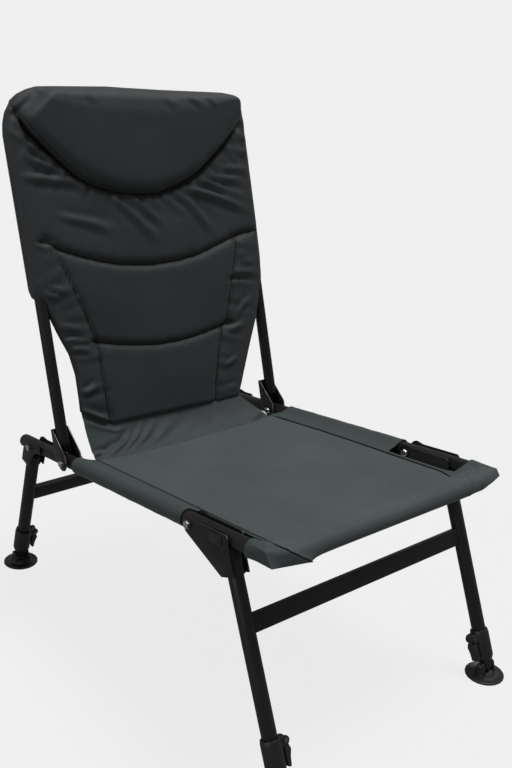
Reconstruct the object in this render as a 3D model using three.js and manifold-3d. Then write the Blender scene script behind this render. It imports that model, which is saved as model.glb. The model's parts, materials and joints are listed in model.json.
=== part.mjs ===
// A low folding fishing chair: a bent-tube seat frame under a sewn cloth seat, a padded
// backrest on an inverted U of tube, and two folding leg frames whose four legs each
// telescope through a cam clamp and end in a swivelling mud foot.
// Millimetres, +Z up, the chair faces -Y, and the sitter's left is +X.
import * as THREE from 'three';
import { mergeVertices } from 'three/addons/utils/BufferGeometryUtils.js';
import Module from 'manifold-3d';

const wasm = await Module();
wasm.setup();

// Driving dimensions.
const RAIL_SPACING = 500;
const RAIL_RADIUS = 12.5;
const TUBE_WALL = 1.5;
const RAIL_LENGTH = 752;
const RAIL_BEND = 55;
const RAIL_REAR_HEIGHT = 293.6;
const RAIL_REAR_PLACE = 372.35;
const RAIL_RISE_ANGLE = THREE.MathUtils.degToRad(6.84);
const BACK_HINGE_PLACE = 176;
const FRONT_HINGE_PLACE = 563;
const REAR_HINGE_PLACE = 44;
const FRONT_LEG_PLACE = 642;
const REAR_LEG_PLACE = 37.2;
const ANKLE_SPREAD = 825;
const ANKLE_HEIGHT = 22;
const LEG_RADIUS = 12.5;
const INNER_LEG_RADIUS = 10.6;
const INNER_LEG_LENGTH = 178;
const LEG_TUBE_START = 30;
const FRONT_BAR_HEIGHT = 241;
const REAR_BAR_HEIGHT = 163;
const BAR_WIDTH = 29;
const BAR_THICKNESS = 12;
const BACK_OUTSET = 4;
const BACK_RADIUS = 11;
const BACK_LEAN = THREE.MathUtils.degToRad(16.7);
const BACK_SETBACK = 9.3;
const BACK_TOP = 656;
const BACK_BEND = 58;
const BACK_TUBE_START = 34;
const PLATE = 2.4;
const CLEARANCE = 0.3;
const CHEEK_GAP = 1.3;
const BOLT_RADIUS = 4;
const OVERRUN = 20;
const PIN_RADIUS = 2.6;
const CLOTH = 2.6;

const ROUND_STEPS = 20;
const SMALL_STEPS = 12;
const BEND_STEPS = 6;
const QUARTER = Math.PI / 2;

// Colours, roughness and metalness of the materials.
const coated = () => new THREE.MeshStandardMaterial({ color: 0x34342f, roughness: 0.42, metalness: 0.35 });
const zinc = () => new THREE.MeshStandardMaterial({ color: 0xc4c6c8, roughness: 0.3, metalness: 1 });
const plastic = () => new THREE.MeshStandardMaterial({ color: 0x1b1d21, roughness: 0.55, metalness: 0 });
const seatCloth = () => new THREE.MeshStandardMaterial({ color: 0x353d40, roughness: 0.85, metalness: 0 });
const backCloth = () => new THREE.MeshStandardMaterial({ color: 0x1d2024, roughness: 0.85, metalness: 0 });

// Solids, cuts and joins.
function solidOf(geometry) {
  const bare = geometry.clone();
  bare.deleteAttribute('normal');
  bare.deleteAttribute('uv');
  const merged = mergeVertices(bare);
  return new wasm.Manifold(new wasm.Mesh({
    numProp: 3,
    vertProperties: new Float32Array(merged.attributes.position.array),
    triVerts: new Uint32Array(merged.index.array),
  }));
}

function geometryOf(solid) {
  const mesh = solid.getMesh();
  const geometry = new THREE.BufferGeometry();
  geometry.setAttribute('position', new THREE.BufferAttribute(new Float32Array(mesh.vertProperties), 3));
  geometry.setIndex(new THREE.BufferAttribute(new Uint32Array(mesh.triVerts), 1));
  return geometry;
}

const join = (...geometries) => geometryOf(
  geometries.slice(1).reduce((sum, next) => sum.add(solidOf(next)), solidOf(geometries[0])),
);
const cut = (geometry, ...tools) => geometryOf(
  tools.reduce((rest, tool) => rest.subtract(solidOf(tool)), solidOf(geometry)),
);

// A cylinder along x, y or z, centred at a point.
function rod(axis, radius, length, centre = [0, 0, 0], steps = SMALL_STEPS) {
  const geometry = new THREE.CylinderGeometry(radius, radius, length, steps);
  if (axis === 'x') geometry.rotateZ(-QUARTER);
  if (axis === 'z') geometry.rotateX(QUARTER);
  return geometry.translate(...centre);
}

const box = (size, centre = [0, 0, 0]) => new THREE.BoxGeometry(...size).translate(...centre);

// An outline of (y, z) points or a shape, made into a plate across x.
const SIDEWAYS = new THREE.Matrix4().makeBasis(
  new THREE.Vector3(0, 1, 0),
  new THREE.Vector3(0, 0, 1),
  new THREE.Vector3(1, 0, 0),
);
function plate(shape, thickness, x = 0, steps = SMALL_STEPS / 2) {
  const geometry = new THREE.ExtrudeGeometry(shape, {
    depth: thickness, bevelEnabled: false, curveSegments: steps,
  });
  return geometry.translate(0, 0, -thickness / 2).applyMatrix4(SIDEWAYS).translate(x, 0, 0);
}
const shapeOf = (points) => new THREE.Shape(points.map(([a, b]) => new THREE.Vector2(a, b)));

// A straight pipe up z between two heights.
function pipe(radius, inner, low, high, steps = ROUND_STEPS) {
  const ring = new THREE.Shape().absarc(0, 0, radius, 0, 2 * Math.PI, false);
  ring.holes.push(new THREE.Path().absarc(0, 0, inner, 0, 2 * Math.PI, true));
  const geometry = new THREE.ExtrudeGeometry(ring, {
    depth: high - low, bevelEnabled: false, curveSegments: steps / 2,
  });
  return geometry.translate(0, 0, low);
}

// A route of straight runs and round bends, sampled only where it needs to be.
class BentRoute extends THREE.Curve {
  constructor(corners, bend, steps) {
    super();
    this.stations = [];
    const last = corners.length - 1;
    corners.forEach((corner, i) => {
      if (i === 0 || i === last) {
        const other = corners[i === 0 ? 1 : last - 1];
        const run = other.clone().sub(corner).normalize().multiplyScalar(i === 0 ? 1 : -1);
        this.stations.push([corner.clone(), run]);
        return;
      }
      const into = corner.clone().sub(corners[i - 1]).normalize();
      const out = corners[i + 1].clone().sub(corner).normalize();
      const turn = into.angleTo(out);
      const start = corner.clone().addScaledVector(into, -bend * Math.tan(turn / 2));
      const inward = out.clone().addScaledVector(into, -into.dot(out)).normalize();
      for (let k = 0; k <= steps; k++) {
        const angle = (turn * k) / steps;
        const point = start.clone()
          .addScaledVector(into, bend * Math.sin(angle))
          .addScaledVector(inward, bend * (1 - Math.cos(angle)));
        const along = into.clone().multiplyScalar(Math.cos(angle)).addScaledVector(inward, Math.sin(angle));
        this.stations.push([point, along]);
      }
    });
  }

  get runs() {
    return this.stations.length - 1;
  }

  getPoint(t, target = new THREE.Vector3()) {
    return target.copy(this.stations[Math.round(t * this.runs)][0]);
  }

  getPointAt(t, target) {
    return this.getPoint(t, target);
  }

  getTangentAt(t, target = new THREE.Vector3()) {
    return target.copy(this.stations[Math.round(t * this.runs)][1]);
  }
}

function bentPipe(route, radius, inner, steps = ROUND_STEPS) {
  const ring = new THREE.Shape().absarc(0, 0, radius, 0, 2 * Math.PI, false);
  if (inner) ring.holes.push(new THREE.Path().absarc(0, 0, inner, 0, 2 * Math.PI, true));
  return new THREE.ExtrudeGeometry(ring, { steps: route.runs, extrudePath: route, curveSegments: steps / 2 });
}

// Groups: the chair, the seat along its sloping rails, the backrest at its hinge, and the
// two leg frames, each with its origin between its ankles.
const chair = new THREE.Group();

const seat = new THREE.Group();
seat.position.set(0, RAIL_REAR_PLACE, RAIL_REAR_HEIGHT);
seat.rotation.x = -RAIL_RISE_ANGLE;
chair.add(seat);

const back = new THREE.Group();
const placeOnRail = (place) => [
  RAIL_REAR_PLACE - place * Math.cos(RAIL_RISE_ANGLE),
  RAIL_REAR_HEIGHT + place * Math.sin(RAIL_RISE_ANGLE),
];
back.position.set(0, ...placeOnRail(BACK_HINGE_PLACE));
back.rotation.x = -BACK_LEAN;
chair.add(back);

// A leg frame leans from its ankles to the place on the rails that its legs' axes cross.
function legGroup(ankle, place) {
  const group = new THREE.Group();
  const [y, z] = placeOnRail(place);
  group.position.set(0, ankle, ANKLE_HEIGHT);
  group.rotation.x = Math.atan2(ankle - y, z - ANKLE_HEIGHT);
  chair.add(group);
  return group;
}
const frontLegs = legGroup(-ANKLE_SPREAD / 2, FRONT_LEG_PLACE);
const rearLegs = legGroup(ANKLE_SPREAD / 2, REAR_LEG_PLACE);

function addMesh(group, name, geometry, material, x = 0) {
  const mesh = new THREE.Mesh(geometry, material);
  mesh.name = name;
  mesh.position.x = x;
  group.add(mesh);
}

const SIDES = [['left', 1], ['right', -1]];
const HALF_RAILS = RAIL_SPACING / 2;
const HALF_BACK = HALF_RAILS + BACK_OUTSET;

// A place along the rails, seen from a group that leans: its pivot, and the rail's
// forward and upward directions there, all as (y, z).
function railSeenFrom(group, place) {
  const turn = -group.rotation.x;
  const [y, z] = placeOnRail(place);
  const pivot = new THREE.Vector2(y - group.position.y, z - group.position.z);
  pivot.rotateAround(new THREE.Vector2(), turn);
  const heading = Math.PI - RAIL_RISE_ANGLE + turn;
  const forward = new THREE.Vector2(Math.cos(heading), Math.sin(heading));
  const up = new THREE.Vector2(Math.sin(heading), -Math.cos(heading));
  const at = (ahead, above) => pivot.clone().addScaledVector(forward, ahead).addScaledVector(up, above);
  const tilt = Math.atan2(-forward.y, -forward.x);
  return { pivot, forward, up, at, tilt };
}

// A piece made with y rearward along the rail and z up from it, put into a leaning group.
function alongRail(view, geometry, ahead = 0, above = 0) {
  const place = view.at(ahead, above);
  return geometry.rotateX(view.tilt).translate(0, place.x, place.y);
}
const railTool = (view, clearance) => alongRail(view, rod(
  'y', RAIL_RADIUS + clearance, RAIL_LENGTH, [0, 0, 0], ROUND_STEPS,
));

// Points on an arc, in degrees.
function arc(centre, radius, from, to, steps) {
  return Array.from({ length: steps + 1 }, (_, k) => {
    const angle = THREE.MathUtils.degToRad(from + ((to - from) * k) / steps);
    return [centre[0] + radius * Math.cos(angle), centre[1] + radius * Math.sin(angle)];
  });
}

// Seat frame: one tube, up one side, across the front and down the other side.
const LOCK_AHEAD = 70;
const LOCK_LENGTH = 30;
const LOCK_HEIGHT = 17;
const LOCK_TRAVEL = 3;
const LOCK_PROUD = 2.6;
const railRoute = new BentRoute([
  new THREE.Vector3(-HALF_RAILS, 0, 0),
  new THREE.Vector3(-HALF_RAILS, -RAIL_LENGTH, 0),
  new THREE.Vector3(HALF_RAILS, -RAIL_LENGTH, 0),
  new THREE.Vector3(HALF_RAILS, 0, 0),
], RAIL_BEND, BEND_STEPS);
const RAIL_BORE = RAIL_RADIUS - TUBE_WALL;
const hingeHoles = [BACK_HINGE_PLACE, FRONT_HINGE_PLACE, REAR_HINGE_PLACE].map((place) => rod(
  'x', BOLT_RADIUS + CLEARANCE, RAIL_SPACING + OVERRUN * 2, [0, -place, 0],
));
const lockHoles = SIDES.map(([, side]) => box(
  [OVERRUN, LOCK_LENGTH + CHEEK_GAP, LOCK_HEIGHT + CHEEK_GAP],
  [side * (HALF_RAILS + OVERRUN / 2), -FRONT_HINGE_PLACE - LOCK_AHEAD, 0],
));
addMesh(seat, 'seat_frame', cut(
  bentPipe(railRoute, RAIL_RADIUS, RAIL_BORE), ...hingeHoles, ...lockHoles,
), coated());

// Rail end caps: a domed plastic plug with a stem inside the tube.
const CAP_RIM = 3;
const CAP_DOME = 3.4;
const CAP_STEM = 18;
const capStemRadius = RAIL_BORE - CLEARANCE;
const capDomeShares = [[1, 0], [0.82, 0.66], [0.45, 0.94], [0, 1]];
const capProfile = [
  [0, -CAP_STEM], [capStemRadius, -CAP_STEM], [capStemRadius, CLEARANCE], [RAIL_RADIUS, CLEARANCE],
  ...capDomeShares.map(([out, up]) => [RAIL_RADIUS * out, CAP_RIM + CAP_DOME * up]),
].map(([r, h]) => new THREE.Vector2(r, h));
for (const [name, side] of SIDES) {
  const cap = new THREE.LatheGeometry(capProfile, ROUND_STEPS);
  addMesh(seat, `rail_cap_${name}`, cap, plastic(), side * HALF_RAILS);
}

// Hinge bolts and their nuts. The head is outside the bracket and the nut inside the frame.
const HEAD_HEIGHT = 4.6;
const HEAD_RADIUS = 7.2;
const FLANGE_RADIUS = 8.6;
const FLANGE_HEIGHT = 1.2;
const NUT_HEIGHT = 6.4;
const BOLT_PAST_NUT = 2;
const HEX_STEPS = 6;
const CHEEK_INNER = RAIL_RADIUS + CHEEK_GAP;
const CHEEK_OUTER = CHEEK_INNER + PLATE;
const BACK_REACH = HALF_BACK + BACK_RADIUS - HALF_RAILS + CHEEK_GAP + PLATE;
function boltAndNut(place, kind, outward, inward) {
  for (const [name, side] of SIDES) {
    const seatOut = outward + CLEARANCE;
    const seatIn = inward + CLEARANCE;
    const tip = seatIn + NUT_HEIGHT + BOLT_PAST_NUT;
    const bolt = join(
      rod('x', BOLT_RADIUS, seatOut + tip, [side * (seatOut - tip) / 2, 0, 0]),
      rod('x', FLANGE_RADIUS, FLANGE_HEIGHT, [side * (seatOut + FLANGE_HEIGHT / 2), 0, 0]),
      rod('x', HEAD_RADIUS, HEAD_HEIGHT, [side * (seatOut + HEAD_HEIGHT / 2), 0, 0], HEX_STEPS),
    );
    const nut = cut(
      rod('x', HEAD_RADIUS, NUT_HEIGHT, [-side * (seatIn + NUT_HEIGHT / 2), 0, 0], HEX_STEPS),
      rod('x', BOLT_RADIUS + CLEARANCE, OVERRUN * 4),
    );
    const x = side * HALF_RAILS;
    addMesh(seat, `${kind}_bolt_${name}`, bolt.translate(0, -place, 0), zinc(), x);
    addMesh(seat, `${kind}_nut_${name}`, nut.translate(0, -place, 0), zinc(), x);
  }
}
boltAndNut(FRONT_HINGE_PLACE, 'front_hinge', CHEEK_OUTER, CHEEK_OUTER);
boltAndNut(REAR_HINGE_PLACE, 'rear_hinge', CHEEK_OUTER, CHEEK_OUTER);
boltAndNut(BACK_HINGE_PLACE, 'back_hinge', BACK_REACH, CHEEK_OUTER);

// Seat cover: a cloth panel slung between sleeves round the side rails, below the tops of the
// rails, and up over the front bar. Each sleeve is drawn in to a seam beside the panel, and
// has a window at the front hinge.
const SLEEVE_INNER = RAIL_RADIUS + CLEARANCE;
const SLEEVE_OUTER = SLEEVE_INNER + CLOTH;
const SLEEVE_START = 204;
const SHEET_START = 217;
const SEAT_SAG = 7;
const SEAM_INSET = 42;
const SEAM_HEIGHT = 2;
const SEAM_LAP = 4;
const WINDOW_START = 536;
const WINDOW_END = 698;
const CORNER_REACH = 15;
const FRONT_RISE = 92;
const EDGE_HOLD = 8;
const SEAM_WALL = 8;
const SHEET_COLUMNS = 8;
const SHEET_RISE_ROWS = 4;
const HALF_TURN = 180;
const sleeveEnd = RAIL_LENGTH + CORNER_REACH;
const seamHalf = HALF_RAILS - SEAM_INSET;

// The section of a sleeve, from its seam round the rail and back.
function sleeveSection(radius, inset, side) {
  const toSeam = HALF_TURN - THREE.MathUtils.radToDeg(Math.atan2(SEAM_HEIGHT, inset));
  const reach = THREE.MathUtils.radToDeg(Math.acos(radius / Math.hypot(inset, SEAM_HEIGHT)));
  const round = arc([0, 0], radius, toSeam + reach, toSeam - reach + HALF_TURN * 2, SMALL_STEPS);
  const section = [[-inset, SEAM_HEIGHT], ...round];
  return side > 0 ? section : section.map(([x, z]) => [-x, z]).reverse();
}
const sideSleeves = SIDES.map(([, side]) => {
  const section = shapeOf(sleeveSection(SLEEVE_OUTER, SEAM_INSET, side));
  section.holes.push(shapeOf(sleeveSection(RAIL_RADIUS, SEAM_INSET - SEAM_WALL, side)));
  return new THREE.ExtrudeGeometry(section, { depth: sleeveEnd - SLEEVE_START, bevelEnabled: false })
    .rotateX(QUARTER)
    .translate(side * HALF_RAILS, -SLEEVE_START, 0);
});
const frontSleeve = rod(
  'x', SLEEVE_OUTER, RAIL_SPACING + CORNER_REACH * 2, [0, -RAIL_LENGTH, 0], SMALL_STEPS,
);
const windowLength = WINDOW_END - WINDOW_START;
const windows = SIDES.map(([, side]) => box(
  [SEAM_INSET + OVERRUN, windowLength, OVERRUN * 2],
  [side * (HALF_RAILS + (OVERRUN - SEAM_INSET) / 2), -(WINDOW_START + WINDOW_END) / 2, 0],
));

// A closed cloth form from a grid of front points and a grid of rear points that share
// their outer edge. Each grid is rows of points, and the rear may skip inner columns.
function clothForm(front, rear, rearColumns) {
  const points = [];
  const index = [];
  const rows = front.length - 1;
  const columns = front[0].length - 1;
  const frontAt = (i, j) => i * (columns + 1) + j;
  front.forEach((row) => row.forEach((p) => points.push(...p)));
  const rearIndex = new Map();
  rear.forEach((row, i) => rearColumns.forEach((j) => {
    if (i === 0 || i === rows || j === 0 || j === columns) {
      rearIndex.set(`${i},${j}`, frontAt(i, j));
      return;
    }
    rearIndex.set(`${i},${j}`, points.length / 3);
    points.push(...row[j]);
  }));
  const quad = (a, b, c, d) => index.push(a, b, c, a, c, d);
  for (let i = 0; i < rows; i++) {
    for (let j = 0; j < columns; j++) {
      quad(frontAt(i, j), frontAt(i, j + 1), frontAt(i + 1, j + 1), frontAt(i + 1, j));
    }
    for (let k = 0; k < rearColumns.length - 1; k++) {
      const [a, b] = [rearColumns[k], rearColumns[k + 1]];
      const rearAt = (row, column) => rearIndex.get(`${row},${column}`);
      quad(rearAt(i, a), rearAt(i + 1, a), rearAt(i + 1, b), rearAt(i, b));
    }
  }
  for (const i of [0, rows]) {
    for (let k = 0; k < rearColumns.length - 1; k++) {
      for (let j = rearColumns[k]; j < rearColumns[k + 1] - 1; j++) {
        const fan = [frontAt(i, rearColumns[k + 1]), frontAt(i, j), frontAt(i, j + 1)];
        index.push(...(i === 0 ? fan.reverse() : fan));
      }
    }
  }
  const geometry = new THREE.BufferGeometry();
  geometry.setAttribute('position', new THREE.BufferAttribute(new Float32Array(points), 3));
  geometry.setIndex(index);
  return geometry;
}

// The middle of the panel's thickness: sagging between the seams, and rising to the top of
// the front bar.
function panelHeight(place, share) {
  const way = Math.max((place - RAIL_LENGTH + FRONT_RISE) / FRONT_RISE, 0);
  const rise = way ** 2 * (1 - Math.abs(share) ** EDGE_HOLD);
  const slung = SEAM_HEIGHT - SEAT_SAG * (1 - share ** 2);
  return slung + rise * (SLEEVE_INNER + CLOTH / 2 - slung);
}
const everyColumn = (columns) => Array.from({ length: columns + 1 }, (_, j) => j);
const sheetHalf = seamHalf + SEAM_LAP;
const sheetTuck = CLOTH / 2;
const sheetXs = [
  -sheetHalf,
  ...everyColumn(SHEET_COLUMNS).map((j) => (sheetHalf - sheetTuck) * ((2 * j) / SHEET_COLUMNS - 1)),
  sheetHalf,
];
const riseStart = RAIL_LENGTH - FRONT_RISE;
const sheetPlaces = [
  SHEET_START, SHEET_START + sheetTuck, (SHEET_START + riseStart) / 2,
  ...everyColumn(SHEET_RISE_ROWS).map((row) => riseStart + (FRONT_RISE * row) / SHEET_RISE_ROWS),
  RAIL_LENGTH + sheetTuck,
];
const sheetGrid = (offset) => sheetPlaces.map((place, i) => sheetXs.map((x, j) => {
  const inside = (i > 0 && i < sheetPlaces.length - 1 && j > 0 && j < sheetXs.length - 1) ? 1 : 0;
  return [x, -place, panelHeight(place, x / sheetHalf) + (inside * offset * CLOTH) / 2];
}));
const sheet = clothForm(sheetGrid(-1), sheetGrid(1), everyColumn(sheetXs.length - 1));
addMesh(seat, 'seat_cover', cut(
  join(sheet, ...sideSleeves, frontSleeve), bentPipe(railRoute, SLEEVE_INNER, 0), ...windows,
), seatCloth());

// Front leg brackets: a folded channel that straddles the rail from below, narrowing down
// a slanted web to a socket round the leg tube. A window in the outer cheek holds the lock.
const EAR_RADIUS = 15;
const CHEEK_TOP = 11.5;
const SOCKET_WALL = 2.6;
const SOCKET_INNER = LEG_RADIUS + CLEARANCE;
const SOCKET_OUTER = SOCKET_INNER + SOCKET_WALL;
const FRONT_SOCKET_DROP = 58;
const FRONT_SOCKET_DEPTH = 44;
const WEB_START = 17;
const CHEEK_NOSE = 5;
const EAR_STEPS = 7;
const holeThrough = (view) => rod(
  'x', BOLT_RADIUS + CLEARANCE, OVERRUN * 4, [0, view.pivot.x, view.pivot.y],
);
const frontView = railSeenFrom(frontLegs, FRONT_HINGE_PLACE);
const crossingAhead = FRONT_LEG_PLACE - FRONT_HINGE_PLACE;
const crossingHeight = frontView.at(crossingAhead, 0).y;
const frontRim = crossingHeight - FRONT_SOCKET_DROP;

function frontBracket(side) {
  const rimRear = new THREE.Vector2(SOCKET_OUTER, frontRim);
  const rimFront = new THREE.Vector2(-SOCKET_OUTER, frontRim);
  const toRim = rimRear.clone().sub(frontView.pivot);
  const spread = Math.asin(EAR_RADIUS / toRim.length());
  const along = toRim.clone().normalize().rotateAround(new THREE.Vector2(), -spread);
  const outward = new THREE.Vector2(-along.y, along.x);
  const touch = frontView.pivot.clone().addScaledVector(outward, EAR_RADIUS);
  const noseAhead = crossingAhead + SOCKET_OUTER + CHEEK_NOSE;
  const ear = arc([0, 0], EAR_RADIUS, 90, 180, EAR_STEPS).map(([ahead, above]) => frontView.at(ahead, above));
  const outline = new THREE.Shape([
    ...ear, touch, rimRear, rimFront,
    frontView.at(noseAhead, -RAIL_RADIUS), frontView.at(noseAhead, CHEEK_TOP - CHEEK_NOSE),
    frontView.at(noseAhead - CHEEK_NOSE, CHEEK_TOP), frontView.at(EAR_RADIUS, CHEEK_TOP),
  ]);
  const webStart = touch.clone().addScaledVector(along, WEB_START);
  const channel = new THREE.Shape([
    webStart.clone().addScaledVector(outward, OVERRUN),
    webStart.clone().addScaledVector(outward, -PLATE),
    rimRear.clone().addScaledVector(outward, -PLATE).addScaledVector(along, OVERRUN),
    rimFront.clone().addScaledVector(along, OVERRUN).add(new THREE.Vector2(-OVERRUN, 0)),
    frontView.at(noseAhead + OVERRUN, EAR_RADIUS + OVERRUN),
    frontView.at(-EAR_RADIUS - OVERRUN, EAR_RADIUS + OVERRUN),
    frontView.at(-EAR_RADIUS - OVERRUN, -OVERRUN),
  ]);
  const lockWindow = alongRail(frontView, box(
    [OVERRUN, LOCK_LENGTH + CLEARANCE * 2, LOCK_HEIGHT + CLEARANCE * 2],
    [side * (CHEEK_INNER + OVERRUN / 2 - CLEARANCE), 0, 0],
  ), LOCK_AHEAD);
  const cheeks = cut(plate(outline, CHEEK_OUTER * 2), plate(channel, CHEEK_INNER * 2));
  const socket = rod(
    'z', SOCKET_OUTER, FRONT_SOCKET_DEPTH, [0, 0, frontRim + FRONT_SOCKET_DEPTH / 2], ROUND_STEPS,
  );
  const bore = rod('z', SOCKET_INNER, RAIL_LENGTH, [0, 0, frontRim], ROUND_STEPS);
  return cut(
    join(cheeks, socket), bore, railTool(frontView, CLEARANCE), holeThrough(frontView), lockWindow,
  );
}

// Lock buttons: a stepped thumb piece in the window of the outer cheek.
const LOCK_STEP = 1.3;
const LOCK_RIM = 3;
function lockButton(side) {
  const depth = PLATE + LOCK_PROUD - LOCK_STEP;
  const base = box([depth, LOCK_LENGTH, LOCK_HEIGHT], [side * (CHEEK_INNER + depth / 2), 0, 0]);
  const thumb = box(
    [LOCK_STEP * 2, LOCK_LENGTH - LOCK_RIM * 2, LOCK_HEIGHT - LOCK_RIM * 2],
    [side * (CHEEK_INNER + depth), 0, 0],
  );
  return alongRail(frontView, join(base, thumb), LOCK_AHEAD);
}

// Rear leg brackets: two cheeks reach forward along the rail from the pivot, over a socket
// whose coped rear top comes up under the rail and stops the legs.
const rearView = railSeenFrom(rearLegs, REAR_HINGE_PLACE);
const REAR_SOCKET_DROP = 44;
const REAR_SOCKET_DEPTH = 34;
const REAR_CHEEK_REACH = 42;
const REAR_CHEEK_CORNER = 5;
const REAR_FOLD = THREE.MathUtils.degToRad(65);
const GUSSET_SAG = 10;
const GUSSET_STEPS = 5;
const rearRim = rearView.pivot.y - REAR_SOCKET_DROP;

// Clears the way for the rail when the rear legs fold forward.
function rearSweep() {
  const reach = RAIL_RADIUS + CLEARANCE;
  const centre = new THREE.Vector2();
  const folded = rearView.forward.clone().rotateAround(centre, REAR_FOLD);
  const foldedBack = new THREE.Vector2(-folded.y, folded.x);
  const from = (base, direction, distance) => base.clone().addScaledVector(direction, distance);
  const start = from(rearView.pivot, foldedBack, reach);
  const shape = new THREE.Shape([
    start, from(start, folded, RAIL_RADIUS * 6), from(rearView.pivot, rearView.forward, RAIL_RADIUS * 9),
    rearView.pivot.clone(),
  ]);
  return plate(shape, CHEEK_INNER * 2);
}

function rearBracket() {
  const origin = rearView.pivot;
  const low = new THREE.Vector2(-SOCKET_OUTER, rearRim + REAR_SOCKET_DEPTH / 3);
  const corner = rearView.at(REAR_CHEEK_REACH, -CHEEK_TOP + REAR_CHEEK_CORNER);
  const gusset = Array.from({ length: GUSSET_STEPS - 1 }, (_, k) => {
    const share = (k + 1) / GUSSET_STEPS;
    const sag = GUSSET_SAG * 4 * share * (1 - share);
    return low.clone().lerp(corner, share).add(new THREE.Vector2(sag * Math.SQRT1_2, sag * Math.SQRT1_2));
  });
  const ear = arc([0, 0], EAR_RADIUS, 90, 180, EAR_STEPS).map(([ahead, above]) => rearView.at(ahead, above));
  const outline = new THREE.Shape([
    new THREE.Vector2(SOCKET_OUTER, rearRim), new THREE.Vector2(-SOCKET_OUTER, rearRim), low,
    ...gusset, corner,
    rearView.at(REAR_CHEEK_REACH, CHEEK_TOP - REAR_CHEEK_CORNER),
    rearView.at(REAR_CHEEK_REACH - REAR_CHEEK_CORNER, CHEEK_TOP), rearView.at(EAR_RADIUS, CHEEK_TOP),
    ...ear, new THREE.Vector2(SOCKET_OUTER, origin.y - EAR_RADIUS),
  ]);
  const cheeks = cut(plate(outline, CHEEK_OUTER * 2), plate(outline, CHEEK_INNER * 2));
  const socket = rod(
    'z', SOCKET_OUTER, REAR_SOCKET_DEPTH, [0, 0, rearRim + REAR_SOCKET_DEPTH / 2], ROUND_STEPS,
  );
  const bore = rod('z', SOCKET_INNER, RAIL_LENGTH, [0, 0, rearRim], ROUND_STEPS);
  return cut(join(cheeks, socket), bore, rearSweep(), railTool(rearView, CLEARANCE), holeThrough(rearView));
}

// Lower leg: a clamp collar on the outer tube, its cam lever and pin on the chair's inner
// side, the telescoping inner leg, and the mud foot on its ankle pin.
const COLLAR_LOW = 12;
const COLLAR_HIGH = 66;
const COLLAR_RADIUS = 16.6;
const COLLAR_THROAT = INNER_LEG_RADIUS + CLEARANCE;
const COLLAR_TAPER = 6;
const COLLAR_LIP = 2.2;
const COLLAR_SLIT = 2.4;
const COLLAR_SLIT_START = 38;
const LEVER_OUT = 23;
const LEVER_UP = 55;
const LEVER_EAR = 7.5;
const LEVER_EAR_THICKNESS = 4;
const LEVER_HEAD = 6.6;
const LEVER_NECK = 7.6;
const LEVER_WIDTH = 15;
const LEVER_LOW = 14;
const LEVER_BACK = 18.4;
const LEVER_BULGE = 30;
const LEVER_TIP = 23;
const collarProfile = [
  [COLLAR_THROAT, COLLAR_LOW], [COLLAR_RADIUS - COLLAR_LIP, COLLAR_LOW],
  [COLLAR_RADIUS, COLLAR_LOW + COLLAR_TAPER],
  [COLLAR_RADIUS, COLLAR_HIGH - COLLAR_TAPER], [COLLAR_RADIUS - COLLAR_LIP / 2, COLLAR_HIGH],
  [SOCKET_INNER, COLLAR_HIGH], [SOCKET_INNER, LEG_TUBE_START - CLEARANCE],
  [COLLAR_THROAT, LEG_TUBE_START - CLEARANCE], [COLLAR_THROAT, COLLAR_LOW],
].map(([r, h]) => new THREE.Vector2(r, h));

// An outline of (x, z) points with x towards the chair's middle, made into a plate across y.
function endways(points, thickness, inward, y = 0) {
  const shape = shapeOf(points.map(([x, z]) => [x * inward, z]));
  return new THREE.ExtrudeGeometry(shape, { depth: thickness, bevelEnabled: false })
    .translate(0, 0, -thickness / 2).rotateX(QUARTER).translate(0, y, 0);
}
const leverPlace = (inward) => [inward * LEVER_OUT, 0, LEVER_UP];

function collar(inward) {
  const body = new THREE.LatheGeometry(collarProfile, ROUND_STEPS).rotateX(QUARTER);
  const earOutline = [
    [LEG_RADIUS, LEVER_UP - LEVER_EAR], ...arc([LEVER_OUT, LEVER_UP], LEVER_EAR, -90, 90, EAR_STEPS),
    [LEG_RADIUS, LEVER_UP + LEVER_EAR],
  ];
  const earPlace = LEVER_NECK / 2 + CLEARANCE + LEVER_EAR_THICKNESS / 2;
  const ears = [1, -1].map((end) => endways(earOutline, LEVER_EAR_THICKNESS, inward, end * earPlace));
  const boreMiddle = LEG_TUBE_START - CLEARANCE + COLLAR_HIGH / 2;
  const bore = rod('z', SOCKET_INNER, COLLAR_HIGH, [0, 0, boreMiddle], ROUND_STEPS);
  const slitOut = LEG_RADIUS + OVERRUN / 2 - CLEARANCE;
  const slit = box(
    [OVERRUN, COLLAR_SLIT, OVERRUN * 2], [inward * slitOut, 0, COLLAR_SLIT_START + OVERRUN],
  );
  const pinHole = rod('y', PIN_RADIUS + CLEARANCE, OVERRUN * 2, leverPlace(inward));
  return cut(join(body, ...ears), bore, slit, pinHole);
}

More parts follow.
